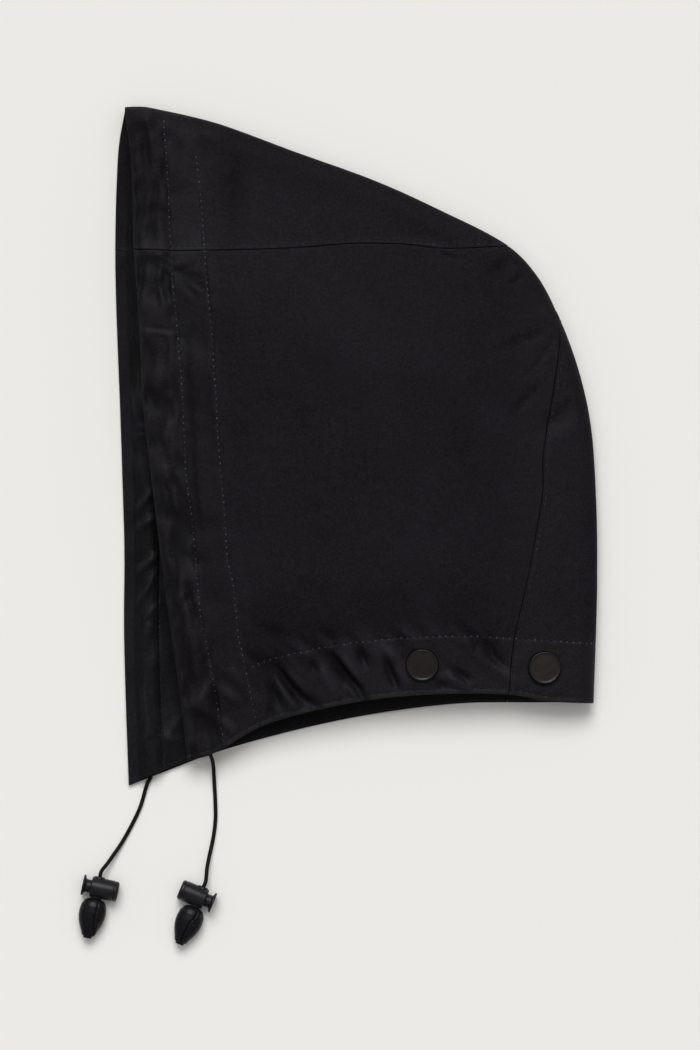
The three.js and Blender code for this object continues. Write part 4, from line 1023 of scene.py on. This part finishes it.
stitch_lines = {
    "left": {
        "channel": Line(CHANNEL_STITCHES, 200),
        "facing": Line(FACING_STITCHES, 200),
        "neck": Line(NECK_STITCHES, 120),
    },
    "right": {
        "channel": beside_face("right", FAR_CHANNEL),
        "facing": beside_face("right", FACING_STRIP["panel"] - 1),
        "neck": hem["right"].moved(-NECK_BAND),
    },
}
for side in SIDES:
    stitch_lines[side]["hem"] = hem[side].moved(-HEM_STITCH)
    stitch_lines[side]["crown"] = crown_seam[side].moved(-TOPSTITCH)
    stitch_lines[side]["back"] = back_seam[side].moved(-TOPSTITCH)


def on_line(line, flat, reach):
    """Distance from a line and share along it for flat points within reach of its box."""
    low, high = line.points.min(0) - reach, line.points.max(0) + reach
    inside = np.flatnonzero(((flat > low) & (flat < high)).all(1))
    d, _, share = line.near(flat[inside])
    return inside, d, share


def small_folds(flat):
    """Rise of the upper cloth's creases and gathers."""
    x, y = flat.T
    rise = folds(FOLDS, flat)
    from_edge, _, share = face_edge["left"].near(flat)
    along = share * face_edge["left"].length
    strip = smooth(from_edge / 3) * smooth((CHANNEL_STRIP + 1 - from_edge) / 3)
    wavy = from_edge + 2.4 * noise(x, y, 14, 9)
    rise += strip * (
        1.2 * noise(wavy, along / 3.2, 3.4, 4) + 0.6 * noise(wavy / 1.6, along, 7.5, 5)
    )
    second = smooth((from_edge - (CHANNEL_STRIP - 1.5)) / 3)
    second *= smooth((FACING_STRIP["panel"] + 2 - from_edge) / 4)
    rise += 0.55 * second * noise(wavy / 1.8, along / 1.3, 8.0, 6)
    from_front = np.linalg.norm(flat - placed((0.1, 1.0)), axis=1)
    rise += 0.35 * smooth((70 - from_front) / 40) * noise(x + 0.5 * y, y - 0.5 * x, 6.0, 8)
    gathered, d, share = on_line(stitch_lines["left"]["neck"], flat, 26)
    on_panel = flat[gathered, 1] > stitch_lines["left"]["neck"].at(share)[:, 1]
    depth = np.exp(-((d / np.where(on_panel, 6, 15)) ** 2)) * smooth((100 - x[gathered]) / 45)
    slanted = flat[gathered, 0] + 0.85 * flat[gathered, 1]
    rise[gathered] += 1.5 * depth * noise(slanted, flat[gathered, 1] / 5, 5.2, 7)
    return rise


def whole_relief(side, flat):
    """Rise of all the layers together."""
    x, y = flat.T
    if side == "right":
        strip = smooth((30 - face_edge["right"].near(flat)[0]) / 10)
        rise = hills(FAR_HILLS, x, y) - FAR_DROP
        return rise - 0.5 * strip * (1 - noise(x, y / 2.5, 5.5, 13))
    from_edge = face_edge["left"].near(flat)[0]
    rise = hills(NEAR_HILLS, x, y)
    rise += 0.75 * np.exp(-(((from_edge - 11.0) / 4.6) ** 2)) + small_folds(flat)
    return rise * smooth(from_studs("left", flat) / 0.6)


def fine_relief(side, flat):
    """Relief of the outer face only: grooves along the stitches, raised seams, crumples."""
    rise = hills(CRUMPLES, *flat.T)
    for line in stitch_lines[side].values():
        inside, d, share = on_line(line, flat, 8)
        along = share * line.length
        pull = 1 + 0.5 * noise(along, along * 0, 7, 23)
        rise[inside] -= 0.24 * pull * np.exp(-((d / GROOVE) ** 2))
        pucker = noise(along, d * 0.3, 2.6, 24) * np.exp(-((d / 2.6) ** 2))
        rise[inside] += 0.17 * pucker
    for line in (crown_seam[side], back_seam[side]):
        inside, d, share = on_line(line, flat, 6)
        _, right, _ = line.near(flat[inside])
        nearest = line.at(share)
        beyond = -((flat[inside] - nearest) * right).sum(1)  # above 0 on the lapped side
        lap = smooth((beyond + 0.1) / 0.3) * smooth((3.4 - beyond) / 1.6)
        rise[inside] += 0.34 * lap - 0.1 * np.exp(-((d / 0.9) ** 2)) * (beyond < 0)
    return np.minimum(rise, 0.0) if side == "right" else rise


def wear_and_painted_light(side, flat):
    """Lightness painted on the cloth: wear along stitches, seams and edges, a painted highlight on
    fold ridges and painted shade in fold grooves, and darker strips at the face.
    """
    x, y = flat.T
    worn_and_lit = 0.12 * np.clip(noise(x, y, 18, 31), 0, 1)
    if side == "left":
        from_edge = face_edge["left"].near(flat)[0]
        # painted highlight on the ridges of the folds, painted shade in their grooves
        worn_and_lit += np.clip(0.52 * small_folds(flat), -0.55, 0.8)
        # the channel strip, and less so the strip beside it, are made darker
        worn_and_lit -= 0.22 * smooth((CHANNEL_STRIP + 2.5 - from_edge) / 3)
        worn_and_lit -= 0.1 * smooth((FACING_STRIP["panel"] + 4 - from_edge) / 3)
    else:
        # painted highlight on the ridges of the facing's creases, on a facing a little darker overall
        worn_and_lit += np.clip(0.75 * folds(FACING_FOLDS, flat), -0.5, 1.0) - 0.3
    for line in (*stitch_lines[side].values(), crown_seam[side], hem[side], face_edge[side]):
        inside, d, share = on_line(line, flat, 6)
        worn_and_lit[inside] += 0.2 * np.exp(-((d / 1.8) ** 2)) * (
            0.7 + 0.5 * noise(share * line.length, d, 9, 32)
        )
    return worn_and_lit


SHINE_REACH = {"face": 46, "hem": 42, "back": 28}  # from each edge or seam
SHINE_BORDER = 18  # width in which the shine of the edges dies out


def polished(side, flat):
    """Where the wax shines: on the strips at the face, the neck band and beside the back seam,
    and less above the crown seam."""
    from_edge, _, _ = face_edge[side].near(flat)
    from_hem, _, _ = hem[side].near(flat)
    at_face = smooth((SHINE_REACH["face"] - from_edge) / SHINE_BORDER)
    shine = np.maximum(at_face, smooth((SHINE_REACH["hem"] - from_hem) / SHINE_BORDER))
    inside, d, _ = on_line(back_seam[side], flat, 30)
    shine[inside] = np.maximum(shine[inside], 0.5 * smooth((SHINE_REACH["back"] - d) / 24))
    above_seam = flat[:, 1] - crown_seam[side].at(0.3)[..., 1]
    return shine * (1 - 0.55 * smooth(above_seam / 12))


TUNNEL_RISE = 2 * (CORD_RADIUS + CORD_CLEARANCE) - LAYER_GAP + CORD_CLEARANCE
TUNNEL_HALF = CORD_RADIUS + 2 * CORD_CLEARANCE
FACING_MIDDLE = -(CLOTH / 2 + LAYER_GAP + FACING / 2)


def facing_lift(side, flat):
    """Facings follow the cloth, stand off over the drawcord, and are creased where they show."""
    off = np.abs(face_edge[side].near(flat)[0] - CHANNEL_MIDDLE)
    lift = whole_relief(side, flat)
    lift -= TUNNEL_RISE * smooth((TUNNEL_HALF + 6 - off) / 6)
    if side == "right":
        x, y = flat.T
        show = 0.22 * (1 + noise(x, y, 15, 41)) + 0.2 * (1 + noise(x + 0.5 * y, y / 3, 4.5, 42))
        lift -= np.maximum(folds(FACING_FOLDS, flat) + show, 0)
        inside, d, _ = on_line(stitch_lines["right"]["channel"], flat, 6)
        lift[inside] += 0.55 * np.exp(-((d / 0.55) ** 2))
    return lift


# Sheets of cloth: where the middle of each kind lies, and its relief
SHEETS = {
    "waxed_cotton": {
        "material": WAXED, "middle": 0, "half": CLOTH / 2, "outer": fine_relief,
        "whole": whole_relief,
    },
    "facing_cloth": {
        "material": FACING_CLOTH, "middle": FACING_MIDDLE, "half": FACING / 2, "outer": None,
        "whole": facing_lift,
    },
}
RELIEF_FADE = 9.0  # how far in from the fold the relief has its full height
FOLD_RELIEF = 0.25  # share of the outer face's own relief that is left on the fold


def shown_relief(flat):
    """Shares of the whole sheet's and of the outer face's relief at flat points."""
    whole = smooth(fold.near(flat)[0] / RELIEF_FADE)
    return whole, FOLD_RELIEF + (1 - FOLD_RELIEF) * whole


EDGE_ROUND = 0.3  # how far in from a sheet's rim its two faces draw together
RIM_STEPS = (0, 0.05, 0.15, 0.3, 0.45, 0.62, 0.9, 1.25, 1.6, 2.0, 2.4, 2.9)
MARK_STEPS = (-1.3, -0.9, -0.6, -0.35, -0.12, 0.12, 0.35, 0.6, 0.9, 1.3)


def spaced(length, pitch, marks=()):
    """Places along a length, closer together at both ends and at the marks."""
    rims = [*RIM_STEPS, *(length - s for s in RIM_STEPS)]
    close = [m + s for m in marks for s in MARK_STEPS]
    places = [*rims, *close]
    gaps = np.array(sorted(places))
    for a, b in zip(gaps, gaps[1:]):
        count = int(round((b - a) / pitch))
        places += list(np.linspace(a, b, count + 1)[1:-1]) if count > 1 else []
    return np.array(sorted(places)) / length


def patch(over, under, front, rear):
    """A flat patch between four lines: over and under run from the face to the back, front and
    rear from the crown to the hem."""
    c00, c10, c01, c11 = over(0.0), over(1.0), under(0.0), under(1.0)

    def at(u, v):
        s, t = u[..., None], v[..., None]
        rows = over(u) * (1 - t) + under(u) * t
        columns = front(v) * (1 - s) + rear(v) * s
        return rows + columns - (
            c00 * (1 - s) * (1 - t) + c10 * s * (1 - t) + c01 * (1 - s) * t + c11 * s * t
        )

    return at


def stretch(line, start, end, aside=(0, 0)):
    """Part of a line, moved aside, by shares of its own length."""
    return lambda t: line.at(start + (end - start) * np.asarray(t, float)) + aside


def straight(start, end):
    return lambda t: start + (end - start) * np.asarray(t)[..., None]


def crossings(flat_at, rows, line, axis):
    """For each row (or column) of a patch, the share across where a line crosses it."""
    order = np.argsort(line.points[:, 1 - axis])
    known, target = line.points[order, 1 - axis], line.points[order, axis]
    across = np.linspace(0, 1, 161)
    r, a = np.meshgrid(rows, across, indexing="ij")
    places = flat_at(a, r) if axis == 0 else flat_at(r, a)
    past = places[..., axis] - np.interp(places[..., 1 - axis], known, target)
    if axis == 1:
        past = -past
    first = np.clip((past > 0).argmax(1), 1, 160)
    pick = np.arange(len(rows))
    low, high = past[pick, first - 1], past[pick, first]
    t = np.clip(-low / np.where(np.abs(high - low) < 1e-9, 1, high - low), 0, 1)
    return across[first - 1] + t * (across[first] - across[first - 1])


def drawn_to(shares, marks, targets):
    """Shares moved so that the marks land on each row's targets."""
    return np.array([np.interp(shares, [0, *marks, 1], [0, *row, 1]) for row in zip(*targets)])


def add_sheet(node, flat, sides, kind):
    """A closed sheet in place of a node, over a grid of flat points in rows that each lie on one
    side."""
    sheet = SHEETS[kind]
    middle, half = sheet["middle"], sheet["half"]
    rows, columns = flat.shape[:2]
    point, normal = np.empty((rows, columns, 3)), np.empty((rows, columns, 3))
    lift, relief, worn_and_lit, shine = (np.zeros((rows, columns)) for _ in range(4))
    for side in SIDES:
        mine = np.array([s == side for s in sides])
        if not mine.any():
            continue
        spots = flat[mine].reshape(-1, 2)
        shape = (mine.sum(), columns)
        p, n = cloth(side, spots)
        point[mine], normal[mine] = p.reshape(*shape, 3), n.reshape(*shape, 3)
        lift[mine] = sheet["whole"](side, spots).reshape(shape)
        if sheet["outer"]:
            relief[mine] = sheet["outer"](side, spots).reshape(shape)
        worn_and_lit[mine] = wear_and_painted_light(side, spots).reshape(shape)
        shine[mine] = polished(side, spots).reshape(shape)
    whole, fine = shown_relief(flat.reshape(-1, 2))
    lift *= whole.reshape(rows, columns)
    relief *= fine.reshape(rows, columns)
    along = np.linalg.norm(np.diff(point, axis=1), axis=2)
    down = np.linalg.norm(np.diff(point, axis=0), axis=2)
    zero_row, zero_column = np.zeros((rows, 1)), np.zeros((1, columns))
    from_left = np.hstack([zero_row, np.cumsum(along, 1)])
    from_top = np.vstack([zero_column, np.cumsum(down, 0)])
    away = np.minimum.reduce(
        [from_left, from_left[:, -1:] - from_left, from_top, from_top[-1:] - from_top]
    )
    pinch = np.sqrt(1 - (1 - np.clip(away / EDGE_ROUND, 0, 1)) ** 2)
    out = middle + lift + pinch * (half + relief)
    back = middle + lift - pinch * half
    outside = point + normal * out[..., None]
    inside = point + normal * back[..., None]
    number = np.arange(rows * columns).reshape(rows, columns)
    core = np.zeros((rows, columns), bool)
    core[1:-1, 1:-1] = True
    other = number.copy()
    other[core] = rows * columns + np.arange(core.sum())
    points = np.vstack([outside.reshape(-1, 3), inside[core]])
    faces = []
    for grid, way in ((number, 1), (other, -1)):
        quads = np.stack([grid[:-1, :-1], grid[:-1, 1:], grid[1:, 1:], grid[1:, :-1]], -1)
        faces.append(quads.reshape(-1, 4)[:, ::way])
    uv = np.vstack([flat.reshape(-1, 2), flat[core]])
    # painted light and wear of the cloth, and where its wax shines
    marks = {"wear_and_painted_light": worn_and_lit, "polish": shine}
    marks = {key: np.concatenate([v.ravel(), v[core]]) for key, v in marks.items()}
    obj = mesh_object(f"{node}_cloth", points, faces, sheet["material"], kind, uv=uv, marks=marks)
    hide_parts(node)


SEAM_HALF = 0.07  # half the gap that shows at a seam
SEAM_ON_FOLD = FOLD_REACH * (1 - math.sqrt(1 - (SEAM_HALF / FOLD_HALF_GAP) ** 2))


def beside_fold(share):
    p = fold.at(share)
    flat = p.reshape(-1, 2)
    _, inward, _ = fold.near(flat)
    return (flat + inward * SEAM_ON_FOLD).reshape(p.shape)


PANEL_SPAN = (192.0, 225.0)  # about how wide and high a side panel is


def add_side_panel(side, pitch):
    seam = crown_seam[side]

    def over(u):
        p = seam.at(u) - (0, SEAM_HALF)
        return np.where(np.asarray(u)[..., None] < 1, p, beside_fold(np.full(np.shape(u), crown_tip)))

    turn = fold.length * (back_tip - crown_tip)
    tip_share = turn / (turn + back_seam[side].length)

    def rear(v):
        v = np.asarray(v, float)
        t = np.clip(v / tip_share, 0, 1)
        first = beside_fold(crown_tip + (back_tip - crown_tip) * t)
        then = back_seam[side].at(np.clip((v - tip_share) / (1 - tip_share), 0, 1))
        return np.where(v[..., None] <= tip_share, first, then - (SEAM_HALF, 0))

    foot = seam_on_hem[side] - SEAM_HALF / hem[side].length
    under = stretch(hem[side], 0, foot)
    flat_at = patch(over, under, stretch(face_edge[side], seam_on_edge[side], 1), rear)
    width, height = PANEL_SPAN
    marks = (CHANNEL_STRIP, FACING_STRIP["panel"])
    up_marks = (height - NECK_BAND,)
    across = spaced(width, pitch, marks)
    down = spaced(height, pitch, up_marks)
    names = ("channel", "facing")
    hits = [crossings(flat_at, down, stitch_lines[side][n], 0) for n in names]
    u = drawn_to(across, [m / width for m in marks], hits)
    neck = crossings(flat_at, across, stitch_lines[side]["neck"], 1)
    v = drawn_to(down, [m / height for m in up_marks], [neck]).T
    flat = flat_at(u, v)
    add_sheet(f"side_panel_{side}", flat, [side] * len(down), "waxed_cotton")


FOLD_STEPS = 16  # rows of a sheet round the fold
FOLD_ROWS = 10.0  # how far in from the fold they reach


def folded_rows(depth, pitch):
    """Shares from a fold to a sheet's edge for each column: along the round of the fold in
    equal steps, then evenly, then close together at the edge."""
    tail = RIM_STEPS[-1]
    middle = np.linspace(0, 1, max(int((max(depth) - FOLD_ROWS - tail) / pitch), 3))
    round_off = 1 - np.cos(np.linspace(0, math.pi / 2, FOLD_STEPS))
    table = []
    for reach in depth:
        end = min(tail, 0.3 * reach)
        bend = min(FOLD_ROWS, 0.35 * reach)
        even = bend + (reach - end - bend) * middle[1:]
        close = reach - np.array(RIM_STEPS[-2::-1]) * end / tail
        table.append(np.concatenate([bend * round_off, even, close]) / reach)
    return np.array(table).T


def add_folded(node, flat_at, across, depth, pitches, kind, marks=(), lines=()):
    """A sheet that turns over the fold, from its edge on the left side to that on the right."""
    grids, sides = [], []
    for side in SIDES:
        rows = folded_rows(depth[side], pitches[side])
        u = np.repeat(across[None], len(rows), axis=0)
        if lines:
            even = np.linspace(0, 1, len(rows))
            hits = [crossings(flat_at[side], even, line[side], 0) for line in lines]
            u = drawn_to(across, marks, [np.interp(rows.mean(1), even, hit) for hit in hits])
        grid = flat_at[side](u, rows)
        grids.append(grid[::-1] if side == "left" else grid[1:])
        sides += [side] * len(grids[-1])
    add_sheet(node, np.concatenate(grids), sides, kind)


PANEL_PITCH = {"left": 1.25, "right": 2.2}


def add_crown_panel():
    flat_at, depth = {}, {}
    length = fold.length * crown_tip * CROWN_POINT
    marks = (CHANNEL_STRIP, FACING_STRIP["crown"])
    across = spaced(length, 1.25, marks)
    for side in SIDES:
        above = stretch(crown_seam[side], 0, CROWN_POINT, (0, SEAM_HALF))
        top = stretch(fold, 0, crown_tip * CROWN_POINT)
        cut = SEAM_HALF / face_edge[side].length
        front = stretch(face_edge[side], 0, seam_on_edge[side] - cut)
        rear = straight(fold.at(crown_tip * CROWN_POINT), above(1.0))
        flat_at[side] = patch(top, above, front, rear)
        depth[side] = np.linalg.norm(top(across) - above(across), axis=1)
    lines = [{s: stitch_lines[s][n] for s in SIDES} for n in ("channel", "facing")]
    add_folded(
        "crown_panel", flat_at, across, depth, PANEL_PITCH, "waxed_cotton",
        [m / length for m in marks], lines,
    )


def add_back_panel():
    flat_at, depth = {}, {}
    length = back_seam["left"].length * (1 - BACK_POINT)
    across = spaced(length, 1.3, (length - NECK_BAND,))
    for side in SIDES:
        edge = stretch(back_seam[side], BACK_POINT, 1, (SEAM_HALF, 0))
        along = stretch(fold, back_tip + (1 - back_tip) * BACK_POINT, 1)
        top = straight(along(0.0), edge(0.0))
        foot = seam_on_hem[side] + SEAM_HALF / hem[side].length
        flat_at[side] = patch(along, edge, top, stretch(hem[side], 1, foot))
        depth[side] = np.linalg.norm(along(across) - edge(across), axis=1)
    add_folded("back_panel", flat_at, across, depth, PANEL_PITCH, "waxed_cotton")


FACING_CUT = 1.2  # how far a facing stays from the hem


def face_facing_place(side):
    last = 1 - FACING_CUT / face_edge[side].length
    width = FACE_FACING_WIDTH - TURNED_EDGE
    return lambda u, v: in_from_face(side, TURNED_EDGE + width * u, v * last)


def add_face_facing():
    across = spaced(FACE_FACING_WIDTH - TURNED_EDGE, 1.3, (FAR_CHANNEL - TURNED_EDGE,))
    flat_at = {side: face_facing_place(side) for side in SIDES}
    depth = {side: np.full(len(across), face_edge[side].length) for side in SIDES}
    pitches = {"left": 2.6, "right": 1.3}
    add_folded("face_facing", flat_at, across, depth, pitches, "facing_cloth")


def neck_facing_place(side):
    low = hem[side]
    start = NECK_FACING_START / low.length
    top = 1 - NECK_FACING_DEPTH / face_edge[side].length
    lift = in_from_face(side, NECK_FACING_START, top) - in_from_face(side, NECK_FACING_START, 1.0)
    back_lift = fold.at(1 - NECK_FACING_DEPTH / fold.length) - fold.at(1.0)

    def place(u, v):
        up = (FACING_CUT + (NECK_FACING_DEPTH - FACING_CUT) * u[..., None]) / NECK_FACING_DEPTH
        t = v[..., None]
        return low.at(1 + (start - 1) * v) + back_lift * (1 - t) * up + lift * t * up

    return place


def add_neck_facing():
    across = spaced(NECK_FACING_DEPTH - FACING_CUT, 1.6)
    flat_at = {side: neck_facing_place(side) for side in SIDES}
    reach = {side: hem[side].length - NECK_FACING_START for side in SIDES}
    depth = {side: np.full(len(across), reach[side]) for side in SIDES}
    add_folded("neck_facing", flat_at, across, depth, {"left": 2.6, "right": 1.5}, "facing_cloth")


add_side_panel("left", 1.3)
add_side_panel("right", 2.4)
add_crown_panel()
add_back_panel()
add_face_facing()
add_neck_facing()


# Stitches: one short thread repeated along lines that lie on the cloth
def stitch_tree():
    tree = bpy.data.node_groups.new("row of stitches", "GeometryNodeTree")
    sockets = {}
    for name in ("Rows", "Pitch", "Length", "Thickness", "Sway", "Smallest"):
        kind = "NodeSocketGeometry" if name == "Rows" else "NodeSocketFloat"
        socket = tree.interface.new_socket(name=name, in_out="INPUT", socket_type=kind)
        sockets[name] = socket.identifier
    tree.interface.new_socket(name="Geometry", in_out="OUTPUT", socket_type="NodeSocketGeometry")

    nodes = Nodes(tree)

    def node(kind, inputs, **settings):
        """The outputs of a new node whose inputs are joined to sockets or set to values."""
        made = nodes.add(kind, **settings)
        for key, value in inputs.items():
            nodes.value(made.inputs[key], value)
        return made.outputs

    given = node("NodeGroupInput", {})
    curve = node("GeometryNodeMeshToCurve", {"Mesh": given["Rows"]})["Curve"]
    spots = node(
        "GeometryNodeCurveToPoints", {"Curve": curve, "Length": given["Pitch"]}, mode="LENGTH"
    )
    scaled = lambda vector, by: node(
        "ShaderNodeVectorMath", {0: vector, "Scale": by}, operation="SCALE"
    )[0]
    spread = {"Min": scaled((-1, -1, -1), given["Sway"]), "Max": scaled((1, 1, 1), given["Sway"])}
    sway = node("FunctionNodeRandomValue", spread, data_type="FLOAT_VECTOR")["Value"]
    ahead = node("ShaderNodeVectorMath", {0: spots["Tangent"], 1: sway}, operation="ADD")[0]
    turn = node("FunctionNodeAlignRotationToVector", {"Vector": ahead}, axis="X")["Rotation"]
    thread = node("GeometryNodeMeshUVSphere", {"Segments": 10, "Rings": 7, "Radius": 0.5})["Mesh"]
    thick = given["Thickness"]
    size = node("ShaderNodeCombineXYZ", {"X": given["Length"], "Y": thick, "Z": thick})["Vector"]
    # the third input is the smallest number and the second output the number
    uneven = node("FunctionNodeRandomValue", {2: given["Smallest"]}, data_type="FLOAT")[1]
    places = {
        "Points": spots["Points"], "Instance": thread, "Rotation": turn,
        "Scale": scaled(size, uneven),
    }
    placed_threads = node("GeometryNodeInstanceOnPoints", places)["Instances"]
    real = node("GeometryNodeRealizeInstances", {"Geometry": placed_threads})["Geometry"]
    finish = node("GeometryNodeSetMaterial", {"Geometry": real, "Material": THREAD})["Geometry"]
    node("NodeGroupOutput", {0: finish})
    return tree, sockets


STITCH_TREE, STITCH_SOCKETS = stitch_tree()
BOLD_STITCH = (1.25, 0.78)  # length and thickness of what shows of a thread
FINE_STITCH = (1.05, 0.32)


def add_stitches(name, rows, size):
    """Rows of stitches of one size, each a list of points on the surface, as one piece."""
    points, edges = [], []
    for row in rows:
        edges += [(len(points) + i, len(points) + i + 1) for i in range(len(row) - 1)]
        points += (row * MM).tolist()
    mesh = bpy.data.meshes.new(name)
    mesh.from_pydata(points, edges, [])
    obj = linked(name, mesh)
    modifier = obj.modifiers.new("row of stitches", "NODES")
    modifier.node_group = STITCH_TREE
    for key, value in (
        ("Pitch", STITCH_PITCH * MM), ("Length", size[0] * MM), ("Thickness", size[1] * MM),
        ("Sway", 0.12), ("Smallest", 0.45),
    ):
        modifier[STITCH_SOCKETS[key]] = value
    graph = bpy.context.evaluated_depsgraph_get()
    made = bpy.data.meshes.new_from_object(obj.evaluated_get(graph))
    obj.modifiers.clear()
    made.name = name
    made.polygons.foreach_set("use_smooth", np.ones(len(made.polygons), bool))
    obj.data = made
    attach(obj, "hood")


def on_cloth(side, flat, height):
    """Points on the outer face of the cloth, a height above it."""
    point, normal = cloth(side, flat)
    whole, fine = shown_relief(flat)
    lift = whole_relief(side, flat) * whole + fine_relief(side, flat) * fine
    return point + normal * (CLOTH / 2 + lift + height)[:, None]


def on_facing(side, flat, height):
    """Points on the inner face of the facing."""
    point, normal = cloth(side, flat)
    return point + normal * (FACING_MIDDLE - FACING / 2 + facing_lift(side, flat) - height)[:, None]


def cut_line(line, low=0.0, high=1.0, step=1.5):
    return line.at(np.linspace(low, high, int(line.length * (high - low) / step)))


STITCH_SINK = -0.08  # a thread's middle lies this far below the surface
for side in SIDES:
    lines = stitch_lines[side]
    bold = [
        cut_line(lines["channel"], 0.004, 0.994), cut_line(lines["facing"], 0.06, 0.985),
        cut_line(lines["neck"], *((0.0, 0.995) if side == "left" else (0.17, 0.97))),
    ]
    fine = [
        cut_line(lines["hem"], 0.01, 0.99), cut_line(lines["crown"], 0.0, 0.97),
        cut_line(lines["back"], 0.03, 0.985),
    ]
    for name, rows, size in (("bold", bold, BOLD_STITCH), ("fine", fine, FINE_STITCH)):
        spots = [on_cloth(side, row, STITCH_SINK) for row in rows]
        add_stitches(f"stitches_{name}_{side}", spots, size)
inner_row = cut_line(stitch_lines["right"]["channel"], 0.05, 0.985)
add_stitches("stitches_inside", [on_facing("right", inner_row, STITCH_SINK)], FINE_STITCH)


# Floor, light and colour
FLOOR = (0.80, 0.79, 0.76)
FLOOR_HALF = 3000.0
FLOOR_DROP = 0.02  # keeps the floor off the lowest faces
ROOM = 0.22  # strength of the light from the room's walls
KEY = {"strength": 2.06, "width": 34, "way": (-0.03, 0.60, 0.80)}  # from the top of the photo
TOP = {"strength": 0.96, "width": 84, "way": (0.0, 0.2, 1.0)}  # soft light from above


def add_floor():
    material, _ = new_material("pale floor", FLOOR, 0.9, 0.0)
    corners = np.array([(-1, -1), (1, -1), (1, 1), (-1, 1)]) * FLOOR_HALF
    points = np.column_stack([corners, np.full(4, -FLOOR_DROP)]) * MM
    mesh = bpy.data.meshes.new("floor")
    mesh.from_pydata(points.tolist(), [], [(0, 1, 2, 3)])
    mesh.materials.append(material)
    linked("floor", mesh)


def add_window(name, light):
    """A far, wide light. way points from the hood to it, and width is in degrees."""
    data = bpy.data.lights.new(name, "SUN")
    data.energy = light["strength"]
    data.angle = math.radians(light["width"])
    lamp = linked(name, data)
    away = np.array(light["way"]) / np.linalg.norm(light["way"])
    lamp.rotation_euler = (math.acos(away[2]), 0, math.atan2(away[1], away[0]) + math.pi / 2)
    return lamp


def add_light():
    world = bpy.data.worlds.new("studio")
    world.use_nodes = True
    background = world.node_tree.nodes["Background"]
    background.inputs["Color"].default_value = (1, 1, 1, 1)
    background.inputs["Strength"].default_value = ROOM
    bpy.context.scene.world = world
    add_window("key", KEY)
    add_window("top", TOP).visible_glossy = False  # a black flag keeps it out of the sheen


add_floor()
add_light()
bpy.context.scene.view_settings.view_transform = "Standard"
